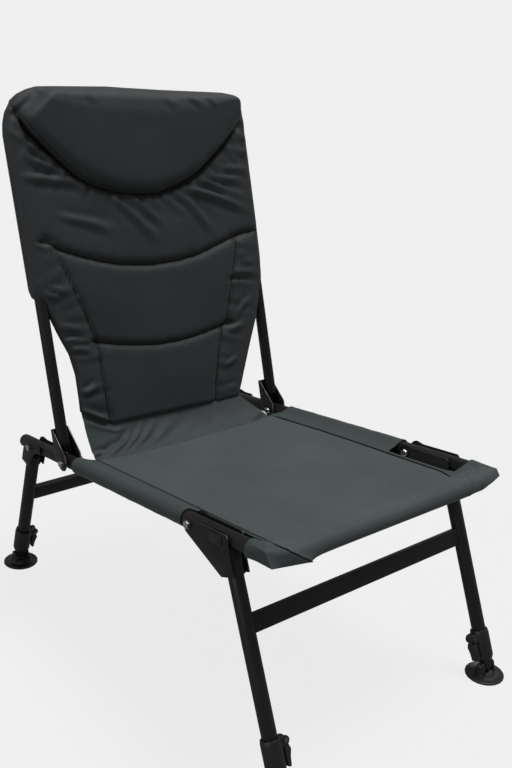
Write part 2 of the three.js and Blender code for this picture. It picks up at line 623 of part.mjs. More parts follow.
function camLever(inward) {
  const neckLow = LEVER_UP - LEVER_EAR - CLEARANCE * 2;
  const neck = [
    [LEVER_OUT - LEVER_HEAD / 2, LEVER_UP], [LEVER_BACK, neckLow - LEVER_HEAD / 2],
    [LEVER_BULGE, neckLow - LEVER_HEAD / 2], [LEVER_OUT + LEVER_HEAD, LEVER_UP],
  ];
  const handle = [
    [LEVER_BACK, neckLow - CLEARANCE], [LEVER_BACK, LEVER_LOW + COLLAR_TAPER],
    [LEVER_TIP - LEVER_HEAD / 3, LEVER_LOW], [LEVER_TIP + LEVER_HEAD / 3, LEVER_LOW],
    [LEVER_BULGE - LEVER_HEAD / 2, LEVER_UP / 2], [LEVER_BULGE + CLEARANCE, neckLow - LEVER_EAR],
    [LEVER_BULGE - LEVER_HEAD / 3, neckLow - CLEARANCE],
  ];
  const head = rod('y', LEVER_HEAD, LEVER_NECK, leverPlace(inward), SMALL_STEPS);
  const pinHole = rod('y', PIN_RADIUS + CLEARANCE, OVERRUN * 2, leverPlace(inward));
  return cut(join(head, endways(neck, LEVER_NECK, inward), endways(handle, LEVER_WIDTH, inward)), pinHole);
}

const RIVET_HEAD = 4.4;
const RIVET_HEIGHT = 1.2;
function leverPin(inward) {
  const half = LEVER_NECK / 2 + CLEARANCE * 2 + LEVER_EAR_THICKNESS;
  const heads = [1, -1].map((end) => rod(
    'y', RIVET_HEAD, RIVET_HEIGHT, [inward * LEVER_OUT, end * (half + RIVET_HEIGHT / 2), LEVER_UP],
  ));
  return join(rod('y', PIN_RADIUS, half * 2, leverPlace(inward)), ...heads);
}

const INNER_BORE = INNER_LEG_RADIUS - TUBE_WALL;
const PLUG_HEIGHT = 14;
function innerLeg() {
  const tube = rod('z', INNER_LEG_RADIUS, INNER_LEG_LENGTH, [0, 0, INNER_LEG_LENGTH / 2], ROUND_STEPS);
  const nose = new THREE.SphereGeometry(INNER_LEG_RADIUS, ROUND_STEPS, SMALL_STEPS / 2).rotateX(QUARTER);
  const boreCentre = [0, 0, PLUG_HEIGHT + INNER_LEG_LENGTH / 2];
  const bore = rod('z', INNER_BORE, INNER_LEG_LENGTH, boreCentre, ROUND_STEPS);
  const pinHole = rod('x', PIN_RADIUS + CLEARANCE, OVERRUN * 2);
  return cut(join(tube, nose), bore, pinHole);
}

const FOOT_RADIUS = 35;
const FOOT_EDGE = 3.6;
const FOOT_DISH = 5;
const HUB_RADIUS = 15.5;
const HUB_TOP = 12;
const LUG_THICKNESS = 4;
const LUG_RADIUS = 7.6;
const LUG_GAP = 0.6;
const LUG_FOOT = 11;
const sole = -ANKLE_HEIGHT;
const footProfile = [
  [0, sole], [FOOT_RADIUS - FOOT_EDGE / 3, sole], [FOOT_RADIUS, sole + FOOT_EDGE / 3],
  [FOOT_RADIUS, sole + FOOT_EDGE], [FOOT_RADIUS - FOOT_EDGE / 2, sole + FOOT_DISH],
  [FOOT_RADIUS - FOOT_EDGE, sole + FOOT_EDGE], [HUB_RADIUS + FOOT_EDGE, sole + FOOT_EDGE],
  [HUB_RADIUS, -HUB_TOP - FOOT_EDGE / 2], [HUB_RADIUS - FOOT_EDGE / 2, -HUB_TOP], [0, -HUB_TOP],
].map(([r, h]) => new THREE.Vector2(r, h));
const LUG_INNER = INNER_LEG_RADIUS + LUG_GAP;
const LUG_OUTER = LUG_INNER + LUG_THICKNESS;
function footDisc() {
  const disc = new THREE.LatheGeometry(footProfile, ROUND_STEPS).rotateX(QUARTER);
  const lug = shapeOf([
    [-LUG_FOOT, sole + FOOT_EDGE / 2], [LUG_FOOT, sole + FOOT_EDGE / 2], [LUG_FOOT, -HUB_TOP],
    ...arc([0, 0], LUG_RADIUS, 0, 180, EAR_STEPS), [-LUG_FOOT, -HUB_TOP],
  ]);
  const lugs = [1, -1].map((end) => plate(lug, LUG_THICKNESS, end * (LUG_INNER + LUG_THICKNESS / 2)));
  return cut(join(disc, ...lugs), rod('x', PIN_RADIUS + CLEARANCE, OVERRUN * 2));
}

function anklePin() {
  const half = LUG_OUTER + CLEARANCE;
  const heads = [1, -1].map((end) => rod(
    'x', RIVET_HEAD, RIVET_HEIGHT, [end * (half + RIVET_HEIGHT / 2), 0, 0],
  ));
  return join(rod('x', PIN_RADIUS, half * 2), ...heads);
}

// Cross bars: flat box tube between the legs, its ends coped round them.
function crossBar(height) {
  const size = [RAIL_SPACING, BAR_THICKNESS, BAR_WIDTH];
  const hollow = [RAIL_SPACING + OVERRUN, BAR_THICKNESS - TUBE_WALL * 2, BAR_WIDTH - TUBE_WALL * 2];
  const legs = SIDES.map(([, side]) => rod(
    'z', SOCKET_INNER, BAR_WIDTH + OVERRUN, [side * HALF_RAILS, 0, height], ROUND_STEPS,
  ));
  return cut(box(size, [0, 0, height]), box(hollow, [0, 0, height]), ...legs);
}

// Both leg frames.
const LEG_BORE = LEG_RADIUS - TUBE_WALL;
const legTube = (top, ...tools) => cut(pipe(LEG_RADIUS, LEG_BORE, LEG_TUBE_START, top), ...tools);
for (const [name, side] of SIDES) {
  const x = side * HALF_RAILS;
  addMesh(frontLegs, `front_bracket_${name}`, frontBracket(side), coated(), x);
  addMesh(frontLegs, `lock_button_${name}`, lockButton(side), plastic(), x);
  const frontTop = crossingHeight - LEG_RADIUS - PLATE;
  const frontTube = legTube(frontTop, railTool(frontView, CLEARANCE));
  addMesh(frontLegs, `front_leg_${name}`, frontTube, coated(), x);
  addMesh(rearLegs, `rear_bracket_${name}`, rearBracket(), coated(), x);
  const rearTop = rearView.pivot.y - LEG_RADIUS;
  const rearTube = legTube(rearTop, railTool(rearView, CLEARANCE), rearSweep());
  addMesh(rearLegs, `rear_leg_${name}`, rearTube, coated(), x);
}
addMesh(frontLegs, 'front_cross_bar', crossBar(FRONT_BAR_HEIGHT), coated());
addMesh(rearLegs, 'rear_cross_bar', crossBar(REAR_BAR_HEIGHT), coated());
for (const [end, frame] of [['front', frontLegs], ['rear', rearLegs]]) {
  for (const [name, side] of SIDES) {
    const x = side * HALF_RAILS;
    const place = `${end}_${name}`;
    addMesh(frame, `clamp_collar_${place}`, collar(-side), plastic(), x);
    addMesh(frame, `cam_lever_${place}`, camLever(-side), plastic(), x);
    addMesh(frame, `lever_pin_${place}`, leverPin(-side), zinc(), x);
    addMesh(frame, `inner_leg_${place}`, innerLeg(), coated(), x);
    addMesh(frame, `ankle_pin_${place}`, anklePin(), zinc(), x);
    const upright = new THREE.Group();
    upright.rotation.x = -frame.rotation.x;
    frame.add(upright);
    addMesh(upright, `mud_foot_${place}`, footDisc(), plastic(), x);
  }
}

// Backrest frame: an inverted U of tube, welded into a channel at each foot that straddles
// the rail. The bottom of the channel's web comes down on the rail and stops the recline.
const backRoute = new BentRoute([
  new THREE.Vector3(-HALF_BACK, BACK_SETBACK, BACK_TUBE_START),
  new THREE.Vector3(-HALF_BACK, BACK_SETBACK, BACK_TOP),
  new THREE.Vector3(HALF_BACK, BACK_SETBACK, BACK_TOP),
  new THREE.Vector3(HALF_BACK, BACK_SETBACK, BACK_TUBE_START),
], BACK_BEND, BEND_STEPS);
addMesh(back, 'back_frame', bentPipe(backRoute, BACK_RADIUS, BACK_RADIUS - TUBE_WALL), coated());

const backView = railSeenFrom(back, BACK_HINGE_PLACE);
const BACK_EAR = 14;
const BACK_CHEEK_HIGH = 64;
const BACK_CHEEK_FRONT = 14;
const BACK_CHEEK_SHOULDER = 15;
const webInner = BACK_SETBACK + BACK_RADIUS + CLEARANCE;
const webOuter = webInner + PLATE;
function backBracket(side) {
  const outerFace = HALF_BACK + BACK_RADIUS + CHEEK_GAP;
  const innerFace = HALF_RAILS - RAIL_RADIUS - CHEEK_GAP;
  const width = outerFace - innerFace;
  const middle = side * ((outerFace + innerFace) / 2 - HALF_RAILS);
  const outline = shapeOf([
    [webOuter, BACK_EAR / 2], [webOuter, BACK_CHEEK_HIGH], [webInner - PLATE, BACK_CHEEK_HIGH],
    [-BACK_CHEEK_FRONT, BACK_CHEEK_SHOULDER], ...arc([0, 0], BACK_EAR, 180, 360, EAR_STEPS),
  ]);
  const reach = BACK_CHEEK_HIGH * 4;
  const channel = box([width, reach, reach], [middle, webInner - reach / 2, 0]);
  return cut(
    plate(outline, width + PLATE * 2, middle), channel, railTool(backView, CLEARANCE), holeThrough(backView),
  );
}
for (const [name, side] of SIDES) {
  addMesh(back, `back_bracket_${name}`, backBracket(side), coated(), side * HALF_RAILS);
}

// A value read off a table of [place, value] pairs.
function readOff(table, place) {
  const next = Math.max(table.findIndex(([at]) => at >= place), 1);
  const [[a, from], [b, to]] = [table[next - 1], table[next]];
  return THREE.MathUtils.mapLinear(place, a, b, from, to);
}

// Back pad: a filled cover pulled down over the U of tube. Its sleeves end part way down,
// and below them it narrows to the seat. Three curved seams cross it and set off the head
// pillow, and a seam runs down near each side.
const PAD_SIDE_COVER = 5;
const PAD_TOP_COVER = 14;
const PAD_HALF_WIDTH = HALF_BACK + BACK_RADIUS + PAD_SIDE_COVER;
const PAD_TOP = BACK_TOP + BACK_RADIUS + PAD_TOP_COVER;
const PAD_DEPTH = 20;
const PAD_EDGE = 16;
const padWidthShares = [
  [0.081, 0.696], [0.135, 0.722], [0.162, 0.741], [0.22, 0.778], [0.286, 0.822],
  [0.336, 0.863], [0.423, 0.893], [0.443, 1], [0.91, 1], [0.947, 0.985], [1, 0.97],
];
// The bottom edge, the three seams and the top edge: height in the middle, height at the
// sides, and how late the line turns up or down.
const padLineShares = [
  [0.081, 0.081, 2], [0.269, 0.294, 2], [0.498, 0.593, 2], [0.698, 0.937, 2], [1, 0.952, 6],
];
// Rows of the form: the line below, the share of the way to the next line, and the depth of
// the front in the middle, of the front at the sides, and of the rear.
const padRowShares = [
  [0, 0, 0, 0, 0], [0, 0.03, 0.3, 0.25, 0.25], [0, 0.12, 0.5, 0.4, 0.3], [0, 0.5, 0.62, 0.45, 0.32],
  [0, 0.9, 0.6, 0.45, 0.32],
  [1, 0, 0.38, 0.4, 0.32], [1, 0.09, 0.68, 0.5, 0.34], [1, 0.28, 0.78, 0.55, 0.36], [1, 0.42, 0.85, 0.6, 0.4],
  [1, 0.5, 0.9, 0.8, 0.8], [1, 0.9, 0.9, 0.8, 0.8],
  [2, 0, 0.62, 0.8, 0.8], [2, 0.08, 0.92, 0.8, 0.8], [2, 0.5, 1.05, 0.82, 0.8], [2, 0.93, 0.95, 0.8, 0.8],
  [3, 0, 0.62, 0.8, 0.8], [3, 0.07, 1.05, 0.8, 0.8], [3, 0.2, 1.4, 0.85, 0.8], [3, 0.5, 1.6, 0.9, 0.8],
  [3, 0.78, 1.45, 0.88, 0.8], [3, 0.9, 1.1, 0.82, 0.8],
  [3, 0.965, 0.8, 0.75, 0.75], [3, 0.99, 0.45, 0.42, 0.42], [4, 0, 0, 0, 0],
];
const padHalfShares = [0, 0.25, 0.5, 0.64, 0.68, 0.72, 0.8, 0.889, 0.941, 0.959, 0.981, 0.9956, 1];
const SIDE_SEAM_SHARE = 0.68;
const SIDE_SEAM_DEPTH_SHARE = 0.7;
const SIDE_SEAM_LINES = [0, 1];
const padAcrossShares = [...padHalfShares.slice(1).reverse().map((share) => -share), ...padHalfShares];
const padRearColumns = padAcrossShares.map((share, j) => [Math.abs(share), j])
  .filter(([share]) => share === 0 || share === padHalfShares[2] || share >= padHalfShares[7])
  .map(([, j]) => j);
function padPoint([line, way, middle, sides, rear], share, rearward) {
  const lineHeight = ([centre, side, late]) => PAD_TOP * (centre + (side - centre) * Math.abs(share) ** late);
  const from = lineHeight(padLineShares[line]);
  const height = way ? from + (lineHeight(padLineShares[line + 1]) - from) * way : from;
  const halfWidth = PAD_HALF_WIDTH * readOff(padWidthShares, height / PAD_TOP);
  const edge = Math.min((halfWidth * (1 - Math.abs(share))) / PAD_EDGE, 1);
  const rounding = Math.sqrt(1 - (1 - edge) ** 2);
  const inSideSeam = Math.abs(share) === SIDE_SEAM_SHARE && SIDE_SEAM_LINES.includes(line);
  const crown = (sides + (middle - sides) * (1 - share * share)) * (inSideSeam ? SIDE_SEAM_DEPTH_SHARE : 1);
  const depth = PAD_DEPTH * rounding * (rearward ? rear : -crown);
  return [share * halfWidth, BACK_SETBACK + depth, height];
}
const padGrid = (rearward) => padRowShares.map(
  (row) => padAcrossShares.map((share) => padPoint(row, share, rearward)),
);
addMesh(back, 'back_pad', cut(
  clothForm(padGrid(false), padGrid(true), padRearColumns), bentPipe(backRoute, BACK_RADIUS + CLEARANCE, 0),
), backCloth());

// Joining cloth: the gathered strip sewn to the rear edge of the seat and the lower edge of
// the back pad. It bends when the backrest folds.
const JOIN_RUN = 60;
const JOIN_FOLD = 3;
const JOIN_FOLDS = 6;
const JOIN_STEPS = 6;
const JOIN_COLUMNS = 24;
seat.updateMatrix();
back.updateMatrix();
const padFoot = PAD_TOP * padLineShares[0][0];
const padFootHalf = PAD_HALF_WIDTH * padWidthShares[0][1];
function joiningGrid(offset) {
  const rows = Array.from({ length: JOIN_STEPS + 1 }, () => []);
  for (let j = 0; j <= JOIN_COLUMNS; j++) {
    const share = (2 * j) / JOIN_COLUMNS - 1;
    const seatX = share * (seamHalf - CLOTH);
    const drop = panelHeight(SHEET_START, share);
    const start = new THREE.Vector3(seatX, CLEARANCE - SHEET_START, drop).applyMatrix4(seat.matrix);
    const turn = new THREE.Vector3(seatX, JOIN_RUN - SHEET_START, drop).applyMatrix4(seat.matrix);
    const end = new THREE.Vector3(share * padFootHalf, BACK_SETBACK, padFoot - CLEARANCE)
      .applyMatrix4(back.matrix);
    const line = new THREE.QuadraticBezierCurve3(start, turn, end);
    rows.forEach((row, i) => {
      const way = i / JOIN_STEPS;
      const along = line.getTangent(way);
      const edge = (i > 0 && i < JOIN_STEPS && j > 0 && j < JOIN_COLUMNS) ? 1 : 0;
      const fold = JOIN_FOLD * Math.sin(Math.PI * way) * Math.cos(2 * Math.PI * JOIN_FOLDS * share);
      const lift = offset * edge * CLOTH / 2 + fold;
      row.push(line.getPoint(way).add(new THREE.Vector3(0, -along.z * lift, along.y * lift)).toArray());
    });
  }
  return rows;
}
addMesh(chair, 'joining_cloth', cut(
  clothForm(joiningGrid(1), joiningGrid(-1), everyColumn(JOIN_COLUMNS)),
), seatCloth());

export default chair;
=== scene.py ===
import bpy
import bmesh
import json
import math
import numpy as np
from mathutils import Matrix, Vector


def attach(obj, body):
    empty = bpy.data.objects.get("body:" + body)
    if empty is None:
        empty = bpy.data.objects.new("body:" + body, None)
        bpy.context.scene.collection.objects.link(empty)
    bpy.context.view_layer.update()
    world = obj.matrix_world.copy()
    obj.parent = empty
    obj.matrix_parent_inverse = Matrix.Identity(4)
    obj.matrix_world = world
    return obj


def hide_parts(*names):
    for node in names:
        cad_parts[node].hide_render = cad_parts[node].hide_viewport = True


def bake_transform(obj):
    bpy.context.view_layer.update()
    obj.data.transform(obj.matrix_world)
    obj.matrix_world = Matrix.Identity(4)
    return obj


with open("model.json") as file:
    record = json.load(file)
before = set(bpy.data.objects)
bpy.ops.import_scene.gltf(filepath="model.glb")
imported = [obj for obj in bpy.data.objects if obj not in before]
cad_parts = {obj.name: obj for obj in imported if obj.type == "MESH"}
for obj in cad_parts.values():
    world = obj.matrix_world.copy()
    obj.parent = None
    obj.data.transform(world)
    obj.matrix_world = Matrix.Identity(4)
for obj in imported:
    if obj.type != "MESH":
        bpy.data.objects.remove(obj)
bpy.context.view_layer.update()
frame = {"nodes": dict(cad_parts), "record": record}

# Studio: an even, endless pale floor under a pale sky, with one broad soft key light above
# the chair's right front and a weaker one behind its open side. The camera stands at the
# chair's right front corner, above the seat.
scene = bpy.context.scene
floor_bm = bmesh.new()
bmesh.ops.create_grid(floor_bm, x_segments=1, y_segments=1, size=60.0)
floor_mesh = bpy.data.meshes.new("floor")
floor_bm.to_mesh(floor_mesh)
floor_bm.free()
floor = bpy.data.objects.new("floor", floor_mesh)
scene.collection.objects.link(floor)


def new_material(name):
    material = bpy.data.materials.new(name)
    material.use_nodes = True
    nodes = material.node_tree.nodes
    return material, nodes, material.node_tree.links, nodes["Principled BSDF"]


def set_inputs(node, values):
    for socket, value in values.items():
        node.inputs[socket].default_value = value


floor_paint, floor_nodes, floor_links, floor_shader = new_material("pale_floor")
set_inputs(floor_shader, {
    "Base Color": (0.07, 0.07, 0.07, 1),
    "Roughness": 1.0,
    "Specular IOR Level": 0.0,
    "Emission Color": (1.0, 1.0, 1.0, 1),
})
floor_seen = floor_nodes.new("ShaderNodeLightPath")
floor_glow = floor_nodes.new("ShaderNodeMath")
floor_glow.operation = "MULTIPLY_ADD"
set_inputs(floor_glow, {1: 0.64, 2: 0.16})
floor_links.new(floor_seen.outputs["Is Camera Ray"], floor_glow.inputs[0])
floor_links.new(floor_glow.outputs[0], floor_shader.inputs["Emission Strength"])
floor_mesh.materials.append(floor_paint)

studio = bpy.data.worlds.new("studio")
studio.use_nodes = True
sky_nodes, sky_links = studio.node_tree.nodes, studio.node_tree.links
backdrop = sky_nodes["Background"]
set_inputs(backdrop, {"Color": (0.872, 0.872, 0.872, 1)})
surround = sky_nodes.new("ShaderNodeBackground")
set_inputs(surround, {"Color": (0.985, 0.99, 1.0, 1), "Strength": 0.22})
seen = sky_nodes.new("ShaderNodeLightPath")
either = sky_nodes.new("ShaderNodeMixShader")
sky_links.new(seen.outputs["Is Camera Ray"], either.inputs[0])
sky_links.new(surround.outputs[0], either.inputs[1])
sky_links.new(backdrop.outputs[0], either.inputs[2])
sky_links.new(either.outputs[0], sky_nodes["World Output"].inputs["Surface"])
scene.world = studio
scene.view_settings.view_transform = "Standard"
scene.view_settings.look = "None"

for light_name, place, spread, strength in (
    ("key_light", (0.70, -0.15, 2.6), 26.0, 2.3),
    ("rim_light", (-2.4, -0.3, 0.9), 30.0, 0.58),
):
    sun = bpy.data.lights.new(light_name, "SUN")
    sun.angle = math.radians(spread)
    sun.energy = strength
    lamp = bpy.data.objects.new(light_name, sun)
    lamp.rotation_euler = Vector(place).to_track_quat("Z", "Y").to_euler()
    scene.collection.objects.link(lamp)

camera_data = bpy.data.cameras.new("camera")
camera_data.sensor_width = 36.0
camera_data.lens = 46.46
camera_data.shift_x = 0.0311
camera_data.shift_y = 0.0045
camera_data.clip_end = 200.0
camera = bpy.data.objects.new("camera", camera_data)
scene.collection.objects.link(camera)
yaw, pitch, roll = (math.radians(angle) for angle in (39.735, -20.296, 2.784))
ahead = Vector((math.sin(yaw) * math.cos(pitch), math.cos(yaw) * math.cos(pitch), math.sin(pitch)))
level = ahead.cross(Vector((0, 0, 1))).normalized()
upright = level.cross(ahead)
across = math.cos(roll) * level + math.sin(roll) * upright
upward = math.cos(roll) * upright - math.sin(roll) * level
turn = Matrix((across, upward, -ahead)).transposed()
camera.matrix_world = Matrix.Translation((-1.0921, -1.27135, 1.0934)) @ turn.to_4x4()
scene.camera = camera

# Powder-coated steel: the seat frame, the backrest frame, both leg frames, their brackets
# and the inner legs. Stock tube and folded plate, welded, then coated a satin brown-black
# whose skin has a faint orange-peel.
def new_group(name, values, results):
    """A shader node group with an input for each of values and an output for each result."""
    group = bpy.data.node_groups.new(name, "ShaderNodeTree")
    kind = "NodeSocketFloat"
    for title, value in values.items():
        socket = group.interface.new_socket(title, in_out="INPUT", socket_type=kind)
        socket.default_value = value
    for title in results:
        group.interface.new_socket(title, in_out="OUTPUT", socket_type=kind)
    nodes = group.nodes
    return group, nodes, group.links, nodes.new("NodeGroupInput"), nodes.new("NodeGroupOutput")


def fine_grain_group():
    group, nodes, links, inside, outside = new_group(
        "surface_grain",
        {"Grain Scale": 900.0, "Patch Scale": 14.0, "Rough Low": 0.4, "Rough High": 0.5},
        ("Height", "Roughness", "Patch"),
    )
    place = nodes.new("ShaderNodeTexCoord")
    grain = nodes.new("ShaderNodeTexNoise")
    set_inputs(grain, {"Detail": 2.0})
    patch = nodes.new("ShaderNodeTexNoise")
    set_inputs(patch, {"Detail": 4.0})
    spread = nodes.new("ShaderNodeMapRange")
    links.new(place.outputs["Object"], grain.inputs["Vector"])
    links.new(place.outputs["Object"], patch.inputs["Vector"])
    links.new(inside.outputs["Grain Scale"], grain.inputs["Scale"])
    links.new(inside.outputs["Patch Scale"], patch.inputs["Scale"])
    links.new(patch.outputs["Fac"], spread.inputs["Value"])
    set_inputs(spread, {"From Min": 0.35, "From Max": 0.65})
    links.new(inside.outputs["Rough Low"], spread.inputs["To Min"])
    links.new(inside.outputs["Rough High"], spread.inputs["To Max"])
    links.new(grain.outputs["Fac"], outside.inputs["Height"])
    links.new(spread.outputs["Result"], outside.inputs["Roughness"])
    links.new(patch.outputs["Fac"], outside.inputs["Patch"])
    return group


surface_grain = fine_grain_group()


def two_tones(nodes, dark, light, dark_at, light_at):
    ramp = nodes.new("ShaderNodeValToRGB")
    ends = ramp.color_ramp.elements
    ends[0].position, ends[1].position = dark_at, light_at
    ends[0].color, ends[1].color = (*dark, 1), (*light, 1)
    return ramp


def bump_relief(nodes, strength, distance):
    relief = nodes.new("ShaderNodeBump")
    set_inputs(relief, {"Strength": strength, "Distance": distance})
    return relief


def grained_material(name, dark, light, grain_scale, rough, bump, metallic=0.0, patch_scale=14.0):
    """A coat that wanders between two tones and two roughnesses, with a fine grain."""
    material, nodes, links, shader = new_material(name)
    set_inputs(shader, {"Metallic": metallic})
    grain = nodes.new("ShaderNodeGroup")
    grain.node_tree = surface_grain
    set_inputs(grain, {"Grain Scale": grain_scale, "Patch Scale": patch_scale})
    set_inputs(grain, {"Rough Low": rough[0], "Rough High": rough[1]})
    tint = two_tones(nodes, dark, light, 0.35, 0.68)
    relief = bump_relief(nodes, bump, 0.0004)
    links.new(grain.outputs["Patch"], tint.inputs["Fac"])
    links.new(tint.outputs["Color"], shader.inputs["Base Color"])
    links.new(grain.outputs["Roughness"], shader.inputs["Roughness"])
    links.new(grain.outputs["Height"], relief.inputs["Height"])
    links.new(relief.outputs["Normal"], shader.inputs["Normal"])
    return material


body_of_node = {
    node: body for body, nodes in frame["record"]["behaviour"]["bodies"].items() for node in nodes
}


def link_piece(name, bm, materials, body=None, smooth_angle=35.0):
    mesh = bpy.data.meshes.new(name)
    bm.to_mesh(mesh)
    bm.free()
    for material in materials:
        mesh.materials.append(material)
    mesh.polygons.foreach_set("use_smooth", [True] * len(mesh.polygons))
    if smooth_angle is not None:
        mesh.set_sharp_from_angle(angle=math.radians(smooth_angle))
    piece = bpy.data.objects.new(name, mesh)
    scene.collection.objects.link(piece)
    if body:
        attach(piece, body)
    return piece


def softened(node, material, easing=0.0004, sharp=40.0):
    """The CAD node again, with its hard edges eased and its round sides smooth."""
    weld, flat = 0.000004, math.radians(0.8)
    bm = bmesh.new()
    bm.from_mesh(frame["nodes"][node].data)
    bmesh.ops.remove_doubles(bm, verts=bm.verts, dist=weld)
    bmesh.ops.dissolve_limit(bm, angle_limit=flat, verts=bm.verts, edges=bm.edges)
    hard = [
        edge for edge in bm.edges
        if len(edge.link_faces) == 2 and edge.calc_face_angle() > math.radians(sharp)
    ]
    bmesh.ops.bevel(
        bm, geom=hard, offset=easing, offset_type="OFFSET", segments=2, profile=0.5,
        affect="EDGES", clamp_overlap=True, material=-1, harden_normals=False,
    )
    for face in bm.faces:
        face.material_index = 0
    piece = link_piece(node + "_finished", bm, [material], body_of_node[node])
    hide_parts(node)
    return piece


powder_coat = grained_material(
    "satin_powder_coat", (0.0106, 0.0098, 0.0089), (0.0155, 0.0145, 0.0132),
    grain_scale=1400.0, rough=(0.40, 0.50), bump=0.12,
)
set_inputs(powder_coat.node_tree.nodes["Principled BSDF"], {"Specular IOR Level": 0.35})
for node in (
    "seat_frame", "back_frame", "front_leg_left", "front_leg_right", "rear_leg_left",
    "rear_leg_right", "front_cross_bar", "rear_cross_bar", "inner_leg_front_left",
    "inner_leg_front_right", "inner_leg_rear_left", "inner_leg_rear_right",
):
    softened(node, powder_coat)

# Folded plate brackets: cut and pressed from sheet. Those of the backrest have a lighter,
# half-metallic colour on the faces of the sheet's sheared edges.
bright_sheared_rim = grained_material(
    "bright_bracket_rim", (0.10, 0.10, 0.095), (0.30, 0.30, 0.29),
    grain_scale=700.0, rough=(0.3, 0.5), bump=0.2, metallic=0.6, patch_scale=60.0,
)
RIM_WIDTH, RIM_TILT, RIM_LEAST_AREA = 0.0021, 0.4, 4e-6
for kind in ("front_bracket", "rear_bracket", "back_bracket"):
    for side in ("left", "right"):
        bracket = softened(f"{kind}_{side}", powder_coat, 0.0005, 45.0).data
        if kind != "back_bracket":
            continue
        # The faces of the sheared edges take the lighter, half-metallic rim colour.
        bracket.materials.append(bright_sheared_rim)
        for face in bracket.polygons:
            reach_x = [bracket.vertices[i].co.x for i in face.vertices]
            sheared = max(reach_x) - min(reach_x) < RIM_WIDTH and abs(face.normal.x) < RIM_TILT
            if sheared and face.area > RIM_LEAST_AREA:
                face.material_index = 1

# Bright hardware: zinc-plated hinge bolts with flanged hexagon heads, their nuts, and the
# rivet pins of the clamps and ankles. Only the face of a bolt's head is bright; its flange and
# the rim of its head are painted with the dull zinc, as painted shade round the bright face.
bright_zinc = grained_material(
    "bright_zinc", (0.50, 0.51, 0.53), (0.68, 0.69, 0.70),
    grain_scale=500.0, rough=(0.2, 0.38), bump=0.15, metallic=1.0, patch_scale=90.0,
)
# Dull zinc: the pins' own finish, and on the bolts a painted shade round the head's face.
dull_zinc_and_shade = grained_material(
    "dull_zinc_and_painted_shade", (0.10, 0.10, 0.105), (0.17, 0.17, 0.175),
    grain_scale=500.0, rough=(0.3, 0.48), bump=0.15, metallic=1.0, patch_scale=90.0,
)
RAIL_REAR_Y, RAIL_REAR_Z = 0.37235, 0.2936
RAIL_RISE = math.radians(6.84)
HEAD_FACE_BAND, HEAD_FACE_REACH = 0.0022, 0.0058
for hinge, along_rail in (("front", 0.563), ("rear", 0.044), ("back", 0.176)):
    axis_y = RAIL_REAR_Y - along_rail * math.cos(RAIL_RISE)
    axis_z = RAIL_REAR_Z + along_rail * math.sin(RAIL_RISE)
    for side, way in (("left", 1), ("right", -1)):
        bolt = softened(f"{hinge}_hinge_bolt_{side}", bright_zinc, 0.0005)
        # The flange and the rim of the head take the dull zinc: painted shade round the bright
        # face.
        bolt.data.materials.append(dull_zinc_and_shade)
        head_face = max(vertex.co.x * way for vertex in bolt.data.vertices)
        for face in bolt.data.polygons:
            centre = face.center
            reach = math.hypot(centre.y - axis_y, centre.z - axis_z)
            if centre.x * way < head_face - HEAD_FACE_BAND or reach > HEAD_FACE_REACH:
                face.material_index = 1
        softened(f"{hinge}_hinge_nut_{side}", bright_zinc, 0.0005)
for place in ("front_left", "front_right", "rear_left", "rear_right"):
    softened(f"lever_pin_{place}", dull_zinc_and_shade, 0.0003)
    softened(f"ankle_pin_{place}", dull_zinc_and_shade, 0.0003)

# Moulded plastic: rail end caps, lock buttons, clamp collars, cam levers and mud feet, all
# in a black nylon with a fine spark-eroded texture.
black_nylon = grained_material(
    "black_nylon", (0.0085, 0.0090, 0.0105), (0.0125, 0.0130, 0.0150),
    grain_scale=1800.0, rough=(0.42, 0.56), bump=0.3,
)
for node in [
    f"{piece}_{place}"
    for piece in ("clamp_collar", "cam_lever", "mud_foot")
    for place in ("front_left", "front_right", "rear_left", "rear_right")
] + ["rail_cap_left", "rail_cap_right", "lock_button_left", "lock_button_right"]:
    softened(node, black_nylon, 0.0006)

# Seat cover: slate-grey woven polyester. A panel hangs between two long seams, below the
# tops of the rails, and climbs over the front bar. Beyond each seam the cloth is a sleeve
# round the rail, cut away at the front hinge and folded flat round the front corner.
rail_turn = Matrix.Rotation(-RAIL_RISE, 4, "X")
rail_place = Matrix.Translation((0, RAIL_REAR_Y, RAIL_REAR_Z)) @ rail_turn
HALF_RAILS = 0.25
FRONT_BAR = 0.752
SLEEVE_RADIUS = 0.0154
SEAM_HEIGHT = 0.0022
CLOTH_THICK = 0.0011

# The two long seams, as (distance along the rail, x). Side -1 is the near one, right, and
# side 1 is the far one, left.
seam_run = {
    -1: np.array([
        (0.19, -0.211), (0.32, -0.213), (0.47, -0.215), (0.63, -0.218), (0.69, -0.2185),
        (0.70, -0.2195), (0.71, -0.2238), (0.72, -0.2322), (0.73, -0.2378), (0.752, -0.2385),
    ]),
    1: np.array([
        (0.19, 0.2085), (0.36, 0.209), (0.474, 0.206), (0.556, 0.201), (0.675, 0.196),
        (0.752, 0.172),
    ]),
}


def seam_x(side, s):
    return np.interp(s, seam_run[side][:, 0], seam_run[side][:, 1])


